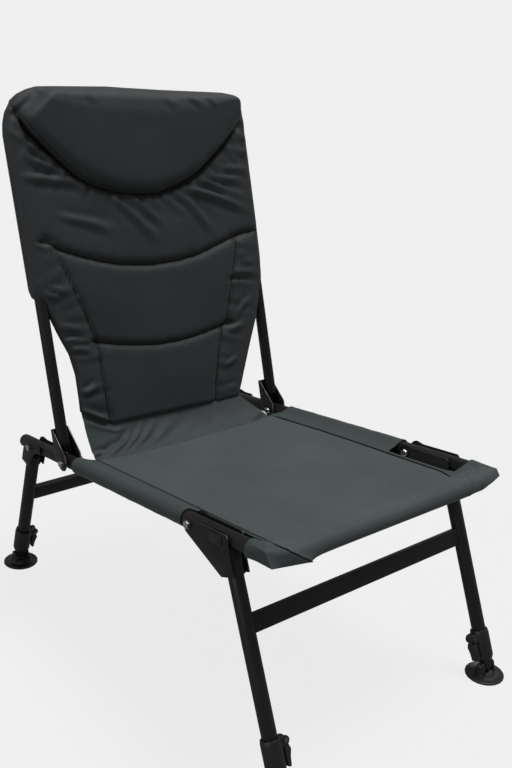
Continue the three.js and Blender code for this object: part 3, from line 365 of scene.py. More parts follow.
def weave_group():
    group, nodes, links, inside, outside = new_group(
        "plain_weave",
        {"Thread Pitch": 0.0011, "Slub": 0.35, "Stitch Pitch": 0.0042, "Crease Width": 0.0016},
        ("Height", "Shade", "Stitch", "Crease"),
    )
    place = nodes.new("ShaderNodeUVMap")
    place.uv_map = "cloth"
    split = nodes.new("ShaderNodeSeparateXYZ")
    links.new(place.outputs["UV"], split.inputs["Vector"])

    def math_node(kind, *values):
        node = nodes.new("ShaderNodeMath")
        node.operation = kind
        for socket, value in zip(node.inputs, values):
            if isinstance(value, (int, float)):
                socket.default_value = value
            else:
                links.new(value, socket)
        return node.outputs[0]

    rate = math_node("DIVIDE", 2 * math.pi, inside.outputs["Thread Pitch"])
    warp = math_node("SINE", math_node("MULTIPLY", split.outputs["X"], rate))
    weft = math_node("SINE", math_node("MULTIPLY", split.outputs["Y"], rate))
    threads = math_node("MULTIPLY_ADD", math_node("MULTIPLY", warp, weft), 0.5, 0.5)
    slub = nodes.new("ShaderNodeTexNoise")
    set_inputs(slub, {"Scale": 420.0, "Detail": 3.0})
    links.new(place.outputs["UV"], slub.inputs["Vector"])
    uneven = math_node("MULTIPLY", slub.outputs["Fac"], inside.outputs["Slub"])
    cloud = nodes.new("ShaderNodeTexNoise")
    set_inputs(cloud, {"Scale": 7.0, "Detail": 5.0})
    links.new(place.outputs["UV"], cloud.inputs["Vector"])
    shade = math_node("MULTIPLY_ADD", threads, 0.30, cloud.outputs["Fac"])
    links.new(shade, outside.inputs["Shade"])

    # One row of stitches beside each seam, from the vertex attributes that hold the distance
    # from the seam and the distance along it.
    gap, along = nodes.new("ShaderNodeAttribute"), nodes.new("ShaderNodeAttribute")
    gap.attribute_name, along.attribute_name = "seam_gap", "seam_run"
    row_from_seam, half_thread = 0.0052, 0.00085
    off_row = math_node("ABSOLUTE", math_node("SUBTRACT", gap.outputs["Fac"], row_from_seam))
    on_row = math_node("SUBTRACT", 1.0, math_node("DIVIDE", off_row, half_thread))
    beat_rate = math_node("DIVIDE", 2 * math.pi, inside.outputs["Stitch Pitch"])
    beat = math_node("SINE", math_node("MULTIPLY", along.outputs["Fac"], beat_rate))
    dash = math_node("MULTIPLY_ADD", beat, 1.6, 1.1)
    on_row, dash = (math_node("MAXIMUM", value, 0.0) for value in (on_row, dash))
    stitch = math_node("MULTIPLY", math_node("MINIMUM", on_row, dash), 2.0)
    stitch = math_node("MINIMUM", stitch, 1.0)
    links.new(stitch, outside.inputs["Stitch"])
    # Painted shade along the seams: the Crease output darkens the colour towards black near a seam,
    # within Crease Width of it.
    widths_off = math_node("DIVIDE", gap.outputs["Fac"], inside.outputs["Crease Width"])
    closeness = math_node("MAXIMUM", math_node("SUBTRACT", 1.7, widths_off), 0.0)
    links.new(math_node("MINIMUM", closeness, 1.0), outside.inputs["Crease"])
    relief = math_node("ADD", math_node("ADD", threads, uneven), math_node("MULTIPLY", stitch, 1.5))
    links.new(relief, outside.inputs["Height"])
    return group


plain_weave = weave_group()


def woven_cloth(name, dark, light, thread, pitch=0.0012, rough=0.7, sheen=0.12):
    material, nodes, links, shader = new_material(name)
    set_inputs(shader, {"Roughness": rough, "Specular IOR Level": 0.3})
    set_inputs(shader, {"Sheen Weight": sheen, "Sheen Roughness": 0.4})
    weave = nodes.new("ShaderNodeGroup")
    weave.node_tree = plain_weave
    set_inputs(weave, {"Thread Pitch": pitch})
    tint = two_tones(nodes, dark, light, 0.35, 0.95)
    sewn = nodes.new("ShaderNodeMix")
    sewn.data_type = "RGBA"
    set_inputs(sewn, {"B": (*thread, 1)})
    # seam_shade mixes in the painted shade along the seams, from the Crease output.
    seam_shade = nodes.new("ShaderNodeMix")
    seam_shade.data_type = "RGBA"
    set_inputs(seam_shade, {"B": (0.003, 0.003, 0.003, 1)})
    relief = bump_relief(nodes, 0.35, 0.00025)
    links.new(weave.outputs["Shade"], tint.inputs["Fac"])
    links.new(weave.outputs["Stitch"], sewn.inputs["Factor"])
    links.new(tint.outputs["Color"], sewn.inputs["A"])
    links.new(weave.outputs["Crease"], seam_shade.inputs["Factor"])
    links.new(sewn.outputs["Result"], seam_shade.inputs["A"])
    links.new(seam_shade.outputs["Result"], shader.inputs["Base Color"])
    links.new(weave.outputs["Height"], relief.inputs["Height"])
    links.new(relief.outputs["Normal"], shader.inputs["Normal"])
    return material


slate_cloth = woven_cloth(
    "slate_polyester", (0.048, 0.060, 0.061), (0.072, 0.088, 0.089), (0.10, 0.12, 0.12),
)
# The sleeves are the same slate polyester with a darker colour: painted shade, as their sides are
# lit less than the panel.
sleeve_cloth_painted_shade = woven_cloth(
    "slate_polyester_sleeve_painted_shade", (0.037, 0.046, 0.047), (0.055, 0.067, 0.068), (0.08, 0.095, 0.095),
)


def laid_grid(across, along, place_of, uv_scale, seam_of=None):
    """A grid of cloth with its columns at the shares in across and its rows at those in
    along, put in place by place_of, with a flat UV map of its own size. seam_of gives each
    vertex its distance from the nearest seam and its distance along that seam."""
    bm = bmesh.new()
    bmesh.ops.create_grid(bm, x_segments=len(across) - 1, y_segments=len(along) - 1, size=0.5)
    uv = bm.loops.layers.uv.new("cloth")
    gap_layer = bm.verts.layers.float.new("seam_gap")
    run_layer = bm.verts.layers.float.new("seam_run")
    verts = list(bm.verts)
    columns = [round((v.co.x + 0.5) * (len(across) - 1)) for v in verts]
    rows = [round((v.co.y + 0.5) * (len(along) - 1)) for v in verts]
    a, b = np.array(across)[columns], np.array(along)[rows]
    flat = {vert: (p * uv_scale[0], q * uv_scale[1]) for vert, p, q in zip(verts, a, b)}
    for face in bm.faces:
        for loop in face.loops:
            loop[uv].uv = flat[loop.vert]
    points = place_of(a, b)
    gaps, runs = seam_of(a, b, points) if seam_of else (np.ones(len(a)), np.zeros(len(a)))
    for vert, co, gap, run in zip(verts, points, gaps, runs):
        vert.co = co
        vert[gap_layer], vert[run_layer] = gap, run
    return bm


def merged(*parts):
    """The grids of cloth as one, sewn where their edges meet."""
    whole = parts[0]
    for part in parts[1:]:
        carrier = bpy.data.meshes.new("part")
        part.to_mesh(carrier)
        part.free()
        whole.from_mesh(carrier)
        bpy.data.meshes.remove(carrier)
    bmesh.ops.remove_doubles(whole, verts=whole.verts, dist=0.00003)
    bmesh.ops.recalc_face_normals(whole, faces=whole.faces)
    return whole


def thickened(cloth, facing, place=Matrix.Identity(4)):
    """The cloth with its faces turned out, by the sign of facing, given its thickness and
    put in place."""
    bmesh.ops.recalc_face_normals(cloth, faces=cloth.faces)
    if facing(cloth.faces) < 0:
        bmesh.ops.reverse_faces(cloth, faces=cloth.faces)
    bmesh.ops.solidify(cloth, geom=cloth.faces[:], thickness=CLOTH_THICK)
    bmesh.ops.transform(cloth, matrix=place, verts=cloth.verts)
    bmesh.ops.recalc_face_normals(cloth, faces=cloth.faces)
    return cloth


def ripple(p, q, seed):
    """A smooth uneven wave round 0, the sum of five sines."""
    total = np.zeros_like(p)
    for k in range(5):
        a = 1.0 + 0.73 * k + 0.17 * seed
        phase = p * a * (1 + 0.31 * k) + q * (0.7 - 0.33 * k) * a + 1.7 * k + seed
        total += np.sin(phase) / (1.4 + k)
    return total / 1.6


def unit(t):
    return np.clip(t, 0, 1)


def smooth(t):
    t = unit(t)
    return t * t * (3 - 2 * t)


def hump(t, width=1.0):
    return np.exp(-((t / width) ** 2))


# The panel: s is the distance along the rails, h the height above their plane. At the front
# it turns down round the bar by PANEL_TURN and ends in a hem. Its near front corner climbs
# round the bend of the frame, and stands out there in a lip, most at LIP_TURN degrees.
PANEL_REAR, PANEL_SAG, PANEL_HEM = 0.217, 0.007, 0.026
PANEL_TURN = math.radians(205)
PANEL_WRAP = SLEEVE_RADIUS * PANEL_TURN
CORNER_REACH = 0.07
SEAM_TUCK, TUCK_END, TUCK_FADE = 0.0024, 0.705, 0.02
CLIMB_RUN, CLIMB_POWER = 0.094, 2.1
FRAME_BEND, FRAME_CLEAR = 0.055, 0.0143
LIP_BULGE, LIP_TURN, LIP_SPREAD = 0.0068, 122, 36
panel_run = FRONT_BAR - PANEL_REAR
panel_length = panel_run + PANEL_WRAP + PANEL_HEM


def panel_rear(across):
    """Where the panel's rear edge is along the rails: its two corners reach further back."""
    near_corner = 0.009 * hump(across, CORNER_REACH)
    far_corner = 0.008 * hump(1 - across, CORNER_REACH)
    return PANEL_REAR - near_corner - far_corner


def edge_tuck(side, angle):
    """How far the seam is drawn in as it turns down round the front bar, in degrees."""
    near_drawn = [0, 0.0063, 0.0220, 0.0400, 0.0435]
    far_drawn = [0, -0.002, -0.005, -0.0075, -0.0085]
    return np.interp(angle, [0, 45, 90, LIP_TURN, 205], near_drawn if side < 0 else far_drawn)


def climb(side, x, s):
    """How far the panel has risen on to the front bar, and how far its seam has risen with it."""
    way = unit((s - FRONT_BAR + CLIMB_RUN) / CLIMB_RUN)
    seam = smooth((s - 0.69) / 0.035) if side < 0 else smooth((s - 0.70) / 0.045)
    beyond_x = np.clip(np.abs(x) - HALF_RAILS + FRAME_BEND, 0, None)
    beyond_s = np.clip(s - FRONT_BAR + FRAME_BEND, 0, None)
    bend_way = (CLIMB_RUN - FRAME_BEND + np.hypot(beyond_x, beyond_s)) / CLIMB_RUN
    way = way + (unit(bend_way) - way) * seam * (side < 0)
    return way**CLIMB_POWER, seam


def untucked(s):
    """How far the near seam's tuck and groove have faded out, towards the front."""
    return smooth((s - TUCK_END) / TUCK_FADE)


def lip_share(angle):
    return hump(angle - LIP_TURN, LIP_SPREAD)


def panel_row(along):
    """The run from the rear edge, its place along the rails, its turn round the front bar,
    and the x of both seams there."""
    run = along * panel_length
    s = PANEL_REAR + np.clip(run, 0, panel_run)
    angle = np.clip((run - panel_run) / SLEEVE_RADIUS, 0, PANEL_TURN)
    near, far = (seam_x(side, s) + edge_tuck(side, np.degrees(angle)) for side in (-1, 1))
    return run, s, angle, near, far


def seat_panel(across, along):
    run, s, angle, near, far = panel_row(along)
    under = np.clip(run - panel_run - PANEL_WRAP, 0, None)
    lapped = SEAM_TUCK * (1 - untucked(s))
    x = near - lapped + (far - near + lapped + SEAM_TUCK) * across
    edge = np.minimum(x - near, far - x)
    inward = np.clip(edge, 0, None)
    s = s - (PANEL_REAR - panel_rear(across)) * np.exp(-run / 0.02)

    # Slung between the seams, taut at the rear, and then up on to the front bar.
    share = np.clip(across * 2 - 1, -1, 1)
    slung = SEAM_HEIGHT - PANEL_SAG * (1 - share**2) * (1 - 0.35 * np.exp(-run / 0.06))
    near_rise, far_rise = (
        way * (1 - np.exp(-inward / 0.010) * (1 - seam))
        for way, seam in (climb(side, x, s) for side in (-1, 1))
    )
    rise = np.where(across < 0.5, near_rise, far_rise)
    wave = 0.0006 * ripple(x * 24, s * 17, 2) * unit(edge / 0.05)
    wave = wave * (1 - smooth((s - 0.66) / 0.09))
    flat_h = slung + rise * (SLEEVE_RADIUS - slung) + wave

    # Round the bar, and in under it to the hem.
    near_lip = LIP_BULGE * np.exp(-inward / 0.013) * lip_share(np.degrees(angle))
    radius = SLEEVE_RADIUS + near_lip * (across < 0.5)
    h = np.where(angle > 0, radius * np.cos(angle), flat_h)
    s = s + np.where(angle > 0, radius * np.sin(angle), 0)
    s = s + under * math.cos(PANEL_TURN)
    h = h - under * math.sin(PANEL_TURN)

    # The grooves at the long seams, fainter at the far one, and at the rear seam.
    groove = 0.0030 * hump(inward, 0.0026) + 0.6 * np.clip(-edge, 0, None)
    groove = groove * np.where(across < 0.5, 1 - untucked(s), 0.45)
    h = h - np.where(angle == 0, groove, 0) - 0.0016 * hump(run, 0.003)
    return np.stack([x, -s, h], axis=1)


def panel_seams(across, along, points):
    """The panel's distance from its seams, for its stitches and its painted crease shade: the far
    one's counts three times, so that its painted crease shade is the narrower."""
    run, _, _, near, far = panel_row(along)
    edge = np.minimum(np.abs(points[:, 0] - near), 3 * np.abs(far - points[:, 0]))
    return np.minimum(edge, run + 0.0016), np.where(edge < run, run, points[:, 0])


edge_columns = np.array([0, 0.0028, 0.0057, 0.0075, 0.0098, 0.0125, 0.017, 0.024])
panel_columns = np.concatenate([edge_columns, np.linspace(0.04, 0.96, 62), 1 - edge_columns[::-1]])
flat_share = panel_run / panel_length
panel_rows = np.concatenate([
    [0, 0.003, 0.007],
    np.linspace(0.014, 0.80 * flat_share, 66),
    np.linspace(0.81 * flat_share, flat_share, 22),
    np.linspace(flat_share, 1, 34)[1:],
])


def facing_up(faces):
    return sum(face.normal.z for face in faces)


panel = laid_grid(panel_columns, panel_rows, seat_panel, (0.42, panel_length), panel_seams)
panel = thickened(panel, facing_up, rail_place)
seat_panel_piece = link_piece("seat_panel", panel, [slate_cloth], "seat", 60.0)
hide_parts("seat_cover")

# The sleeves and the folded corners. A sleeve's window at the front hinge goes from its top
# hem to its under hem, as shares of the way round the rail. The crease of a corner's fold goes
# half way out, to its upper corner and to its lower one, each as (x, along the rail, height).
WINDOW_REAR, WINDOW_FRONT = 0.541, 0.698
TOP_HEM = {-1: 0.085, 1: 0.03}
UNDER_HEM = 0.9
FOLD_START, FOLD_TURN = 0.702, 0.6
CREASE_KNOTS = [0, 0.18, 0.36, 0.55, 1]
sleeve_rear = {-1: 0.2045, 1: 0.2275}
corner_points = {
    -1: np.array([(-0.2415, 0.7205, 0.0100), (-0.2595, 0.739, 0.0105), (-0.259, 0.752, -0.012)]),
    1: np.array([(0.227, 0.722, 0.0122), (0.262, 0.744, 0.0090), (0.264, 0.750, -0.0035)]),
}
# What the way round a sleeve counts as, from its seam: four times as much on the far one, so
# that its painted crease shade is the narrower.
seam_spread = {-1: 0.125, 1: 0.5}


def sleeve_point(side, around, s):
    """A point of the sleeve's section: from the seam out over the rail and back below it."""
    out = np.abs(seam_x(side, s)) - HALF_RAILS
    far = np.hypot(out, SEAM_HEIGHT)
    half = np.arccos(SLEEVE_RADIUS / far)
    flap = np.sqrt(far**2 - SLEEVE_RADIUS**2)
    wrap = 2 * math.pi - 2 * half
    run = around * (2 * flap + SLEEVE_RADIUS * wrap)
    angle = np.arctan2(SEAM_HEIGHT, out) - half - np.clip((run - flap) / SLEEVE_RADIUS, 0, wrap)
    low = run - flap - SLEEVE_RADIUS * wrap
    to_seam = np.where(run < flap, 1 - run / flap, unit(low / flap))
    slack = 1 + 0.028 * ripple(s * 55, around * 6, 3 + side) * (to_seam <= 0)
    ring_out = SLEEVE_RADIUS * np.cos(angle) * slack
    ring_up = SLEEVE_RADIUS * np.sin(angle) * slack
    sag = 0.0018 * np.sin(math.pi * unit(to_seam)) * np.where(low > 0, 1, -1)
    groove_depth = 0.0024 if side < 0 else 0.0012
    groove = groove_depth * hump(run, 0.0030) * (low <= 0)
    x = side * (HALF_RAILS + ring_out + (out - ring_out) * to_seam)
    return np.stack([x, -s, ring_up + (SEAM_HEIGHT - ring_up) * to_seam + sag - groove], axis=1)


def panel_edge(side, s):
    """The x and the height of the panel's edge, at its long seam."""
    way, seam = climb(side, seam_x(side, s), s)
    return seam_x(side, s), SEAM_HEIGHT + way * seam * (SLEEVE_RADIUS - SEAM_HEIGHT)


def inner_edge(side, b):
    """Where a corner's fold meets the panel: along the seam, then down round the front bar."""
    s = FOLD_START + (FRONT_BAR - FOLD_START) * unit(b / FOLD_TURN)
    x, h = panel_edge(side, s)
    angle = LIP_TURN * unit((b - FOLD_TURN) / (1 - FOLD_TURN))
    radius = SLEEVE_RADIUS + (side < 0) * LIP_BULGE * lip_share(angle)
    x = x + edge_tuck(side, angle)
    turned = np.radians(angle)
    s = s + np.where(angle > 0, radius * np.sin(turned), 0)
    return np.stack([x, -s, np.where(angle > 0, radius * np.cos(turned), h) - 0.0012], axis=1)


def outside_tube(side, points):
    """The same points, moved out where they would be inside the bent tube of the frame."""
    x, s, h = points[:, 0] * side, -points[:, 1], points[:, 2]
    centre_x, centre_s = HALF_RAILS - FRAME_BEND, FRONT_BAR - FRAME_BEND
    beyond = np.stack([np.clip(x - centre_x, 0, None), np.clip(s - centre_s, 0, None)], axis=1)
    length = np.maximum(np.linalg.norm(beyond, axis=1, keepdims=True), 1e-6)
    on_arc = np.array([centre_x, centre_s]) + beyond / length * FRAME_BEND
    on_arc[:, 0] = np.where(s < centre_s, HALF_RAILS, np.where(x < centre_x, x, on_arc[:, 0]))
    on_arc[:, 1] = np.where(s < centre_s, s, np.where(x < centre_x, FRONT_BAR, on_arc[:, 1]))
    out = np.stack([x - on_arc[:, 0], s - on_arc[:, 1], h], axis=1)
    gap = np.maximum(np.linalg.norm(out, axis=1, keepdims=True), 1e-6)
    out = out * np.maximum(1, FRAME_CLEAR / gap)
    clear_x, clear_s = on_arc[:, 0] + out[:, 0], on_arc[:, 1] + out[:, 1]
    return np.stack([clear_x * side, -clear_s, out[:, 2]], axis=1)


def crease(side, a):
    """The fold's outer edge, from the seam out to the corner, and then in below the front bar."""
    corners = np.concatenate([
        inner_edge(side, np.array([0.0])),
        corner_points[side] * np.array([1, -1, 1]),
        inner_edge(side, np.array([1.0])),
    ])
    return np.stack([np.interp(a, CREASE_KNOTS, corners[:, i]) for i in range(3)], axis=1)


def square_end(value):
    """An end of a stretch of sleeve that is square to the rail."""
    return lambda around: np.full(around.shape, value)


def sleeve_stretch(side, around, rear, front, rows):
    """The sleeve between two ends, each given as its place along the rail by the way round."""

    def place(a, b):
        return sleeve_point(side, a, rear(a) + (front(a) - rear(a)) * b)

    def seams(a, b, points):
        return np.minimum(np.abs(a), 1 - a) * seam_spread[side], -points[:, 1]

    return laid_grid(around, np.linspace(0, 1, rows), place, (0.125, 0.34), seams)


def corner_fold(side, around):
    """From the end of the window to the crease of the folded corner."""

    def place(a, b):
        over = unit(a)
        window_end = square_end(WINDOW_FRONT)(a)
        start = sleeve_point(side, a, window_end)
        end = crease(side, over) + (start - sleeve_point(side, over, window_end))
        point = start + (end - start) * (b * 0.6 + smooth(b) * 0.4)[:, None]
        point[:, 1] = start[:, 1] + (end[:, 1] - start[:, 1]) * b
        return outside_tube(side, point)

    def seams(a, b, points):
        return np.abs(a) * seam_spread[side], -points[:, 1]

    return laid_grid(around, np.linspace(0, 1, 24), place, (0.125, 0.06), seams)


def corner_face(side):
    """The flat of the fold, between its crease and the panel's turned-down edge."""

    def place(a, b):
        outer = crease(side, np.interp(b, [0, FOLD_TURN, 1], [0, *CREASE_KNOTS[2:4]]))
        inner = inner_edge(side, b)
        tuck = np.array([SEAM_TUCK * -side, 0, -0.0008]) * smooth((a - 0.9) / 0.1)[:, None]
        point = outer + (inner - outer) * a[:, None] + tuck
        puff = np.sin(math.pi * a) * np.sin(math.pi * (b if side < 0 else np.clip(b, 0, 0.5)))
        point[:, 1] -= (0.0016 if side < 0 else 0.0050) * puff
        point[:, 2] += 0.0012 * puff * (1 - b)
        return outside_tube(side, point)

    def seams(a, b, points):
        # The distance from the seam, for the stitches and the painted crease shade; on the far side
        # it is past 1, so none shows there.
        return (1 - a) * 0.05 + (0 if side < 0 else 1), -points[:, 1] + points[:, 2]

    return laid_grid(np.linspace(0, 1, 34), np.linspace(0, 1, 40), place, (0.06, 0.05), seams)


for side_name, side in (("left", 1), ("right", -1)):
    top_hem = TOP_HEM[side]
    upper = np.concatenate([
        [-0.018, -0.009, 0, 0.008, 0.017], np.unique(np.linspace(0.03, top_hem, 4)),
    ])
    middle = np.linspace(top_hem, UNDER_HEM, 52)
    lower = np.linspace(UNDER_HEM, 1, 5)
    around = np.concatenate([upper, middle[1:], lower[1:]])

    def window_rear(a):
        corner = unit(np.minimum(a - top_hem, UNDER_HEM - a) / 0.075)
        return WINDOW_REAR + 0.009 * (1 - np.sqrt(1 - (1 - corner) ** 2))

    def window_front(a):
        return WINDOW_FRONT - 0.024 * smooth((a - 0.55) / 0.2)

    def rear_end(a):
        return sleeve_rear[side] - (0.0 if side < 0 else 0.0185) * hump(a, 0.13)

    def facing_out(faces):
        outermost = max(faces, key=lambda face: face.calc_center_median().x * side)
        return outermost.normal.x * side

    window_start = float(window_rear(np.array([0.0]))[0])
    sleeve = thickened(merged(
        sleeve_stretch(side, around, rear_end, window_rear, 64),
        sleeve_stretch(side, upper, square_end(window_start), square_end(WINDOW_FRONT), 30),
        sleeve_stretch(side, lower, square_end(window_start), window_front, 30),
        sleeve_stretch(
            side, around[around >= 0.55], window_front, square_end(WINDOW_FRONT), 6,
        ),
        corner_fold(side, around),
    ), facing_out, rail_place)
    sleeve_piece = link_piece(
        f"rail_sleeve_{side_name}", sleeve, [sleeve_cloth_painted_shade], "seat", 50.0,
    )
    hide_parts("seat_cover")

    def facing_front(faces):
        return -sum(face.normal.y for face in faces)

    fold = thickened(corner_face(side), facing_front, rail_place)
    fold_piece = link_piece(
        f"corner_fold_{side_name}", fold, [slate_cloth], "seat", 50.0,
    )
    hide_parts("seat_cover")

# Back pad: near-black polyester, padded, pulled down over the inverted U of the backrest.
# A curved seam sets off the thick head pillow, two more cross the back, and one runs down
# each side; the cloth puckers where the seams draw it in. It is wider at its far side's foot.
BACK_PIVOT = Vector((0, 0.197603, 0.314561))
BACK_LEAN = math.radians(16.7)
back_place = Matrix.Translation(BACK_PIVOT) @ Matrix.Rotation(-BACK_LEAN, 4, "X")
TUBE_SETBACK = 0.0093
TUBE_COVER = 0.0158
charcoal_cloth = woven_cloth(
    "charcoal_polyester", (0.0245, 0.0280, 0.0298), (0.0405, 0.0463, 0.0491),
    (0.008, 0.009, 0.0095), pitch=0.0011, rough=0.6, sheen=0.10,
)

# The pad's foot, its two lower cross seams, the seam under its pillow and its top, as (share
# of the half width, height up the back). Its halves' widths go by height, and its side seams
# are (x, height).
foot_line = np.array([
    (-1, 0.086), (-0.845, 0.065), (-0.70, 0.049), (-0.2, 0.047), (0.3, 0.045), (1, 0.044),
])
lower_line = np.array([
    (-1, 0.225), (-0.76, 0.213), (-0.52, 0.198), (-0.31, 0.190), (-0.10, 0.184), (0.11, 0.183),
    (0.33, 0.187), (0.50, 0.193), (0.65, 0.199), (1, 0.215),
])
upper_line = np.array([
    (-1, 0.41), (-0.855, 0.405), (-0.75, 0.387), (-0.61, 0.372), (-0.465, 0.359), (-0.31, 0.348),
    (-0.065, 0.340), (0.2, 0.341), (0.39, 0.348), (0.59, 0.363), (0.79, 0.378), (1, 0.383),
])
pillow_line = np.array([
    (-1, 0.649), (-0.93, 0.634), (-0.85, 0.602), (-0.66, 0.547), (-0.53, 0.513), (-0.39, 0.494),
    (-0.235, 0.482), (-0.076, 0.475), (0.09, 0.474), (0.28, 0.487), (0.47, 0.507), (0.69, 0.550),
    (0.86, 0.589), (0.93, 0.613), (1, 0.64),
])
top_line = np.array([
    (-1, 0.658), (-0.95, 0.670), (-0.88, 0.678), (-0.8, 0.683), (-0.22, 0.682), (0.28, 0.675),
    (0.85, 0.669), (0.94, 0.664), (1, 0.652),
])
pad_lines = [foot_line, lower_line, upper_line, pillow_line, top_line]
near_half = np.array([
    (0.046, 0.212), (0.109, 0.209), (0.156, 0.2085), (0.195, 0.215), (0.229, 0.229),
    (0.26, 0.240), (0.289, 0.250), (0.300, 0.254), (0.3045, 0.270), (0.32, 0.2735), (0.60, 0.275),
    (0.62, 0.272), (0.64, 0.2645), (0.655, 0.254), (0.70, 0.240),
])
far_half = np.array([
    (0.044, 0.165), (0.096, 0.188), (0.145, 0.210), (0.199, 0.236), (0.236, 0.248),
    (0.277, 0.262), (0.296, 0.2660), (0.33, 0.2690), (0.40, 0.271), (0.62, 0.272), (0.645, 0.269),
    (0.66, 0.262), (0.70, 0.252),
])
near_seam = np.array([
    (-0.2105, 0.370), (-0.208, 0.360), (-0.190, 0.312), (-0.169, 0.249), (-0.155, 0.204),
    (-0.156, 0.137), (-0.154, 0.089), (-0.150, 0.049),
])
far_seam = np.array([
    (0.206, 0.376), (0.202, 0.354), (0.186, 0.306), (0.152, 0.203), (0.143, 0.198),
    (0.124, 0.149), (0.108, 0.089), (0.100, 0.046),
])


def pad_line(k, v):
    return np.interp(v, pad_lines[k][:, 0], pad_lines[k][:, 1])


def pad_height(r, v):
    """How far up the back a row is: r goes from 0 at the foot to 4 at the top, line by line."""
    k = np.clip(r.astype(int), 0, 3)
    lines = np.stack([pad_line(i, v) for i in range(5)])
    low = np.take_along_axis(lines, k[None], 0)[0]
    high = np.take_along_axis(lines, k[None] + 1, 0)[0]
    return low + (high - low) * (r - k)


def pad_half(a, v):
    near = np.interp(a, near_half[:, 0], near_half[:, 1])
    far = np.interp(a, far_half[:, 0], far_half[:, 1])
    return np.where(v < 0, near, far)


def line_distance(x, a, line):
    """How far each point is from a line, with its sign, and how far along the line it is."""
    steps = np.diff(line, axis=0)
    run = np.concatenate([[0], np.cumsum(np.hypot(steps[:, 0], steps[:, 1]))])
    best = np.full(x.shape, 9.0)
    turn = np.ones(x.shape)
    along = np.zeros(x.shape)
    for k, (dx, da) in enumerate(steps):
        t = unit(((x - line[k, 0]) * dx + (a - line[k, 1]) * da) / (dx * dx + da * da))
        off_x, off_a = x - line[k, 0] - t * dx, a - line[k, 1] - t * da
        gap = np.hypot(off_x, off_a)
        nearer = gap < best
        best = np.where(nearer, gap, best)
        turn = np.where(nearer, np.where(dx * off_a - da * off_x < 0, -1, 1), turn)
        along = np.where(nearer, run[k] + t * math.hypot(dx, da), along)
    return best, turn, along


def across_seam(k, low, high):
    v = np.linspace(low, high, 60)
    a = pad_line(k, v)
    return np.stack([v * pad_half(a, v), a], axis=1)


cross_seams = {
    "pillow": across_seam(3, -0.985, 0.99),
    "upper": across_seam(2, -0.87, 0.985),
    "lower": across_seam(1, -0.74, 0.68),
}


def pucker(t, seed):
    """The unequal small waves of cloth that is drawn in along a seam."""
    return (
        np.sin(t * 2 * math.pi / 0.023 + seed) + 0.8 * np.sin(t * 2 * math.pi / 0.0371 + 2.1 * seed)
        + 0.6 * np.sin(t * 2 * math.pi / 0.0157 + 0.6 * seed)
    ) / 1.6


# The deeper folds, as they hang in use: from, to (mm across and up the back), the ridge's
# height, which FOLD_GAIN multiplies, and its half width in mm. A negative height is a valley.
FOLD_GAIN = 2.6
pad_folds = (
    (-80, 480, 7, 381, 1.5, 8), (-46, 478, 24, 418, 1.2, 6), (30, 473, 82, 431, 1.2, 6),
    (66, 476, 147, 390, 1.6, 8), (90, 484, 245, 425, 2.6, 8), (125, 498, 249, 448, 2.0, 7),
    (144, 503, 235, 488, 1.6, 6), (190, 519, 256, 503, 1.8, 6), (212, 554, 266, 544, 1.5, 6),
    (230, 580, 264, 573, 1.2, 5), (-278, 609, -250, 590, 1.3, 5), (-245, 586, -174, 535, 1.6, 6),
    (-244, 558, -155, 514, 2.0, 7), (-256, 525, -130, 498, 2.2, 8), (-199, 450, -93, 411, 1.3, 8),
    (56, 658, 83, 637, 1.4, 6), (114, 660, 142, 636, 1.6, 6), (160, 653, 182, 635, 1.3, 5),
    (-122, 663, -97, 649, 1.3, 6), (-202, 678, -191, 666, 1.2, 5), (-252, 399, -216, 393, 1.3, 5),
    (-245, 412, -212, 393, 1.3, 5), (-241, 318, -207, 314, 1.4, 5),
    (-252, 312, -220, 303, 1.3, 5), (-227, 249, -186, 242, 1.8, 5),
    (-224, 230, -185, 225, -1.4, 5), (-210, 202, -171, 197, 1.6, 5),
    (-201, 121, -172, 127, 1.8, 6), (-206, 90, -151, 48, 2.0, 7), (211, 320, 242, 319, 1.2, 5),
    (166, 290, 243, 283, -1.8, 6), (185, 219, 222, 243, 1.5, 6), (150, 186, 197, 194, 1.6, 6),
    (133, 118, 169, 124, 1.4, 5), (130, 68, 161, 67, 1.2, 5),
)


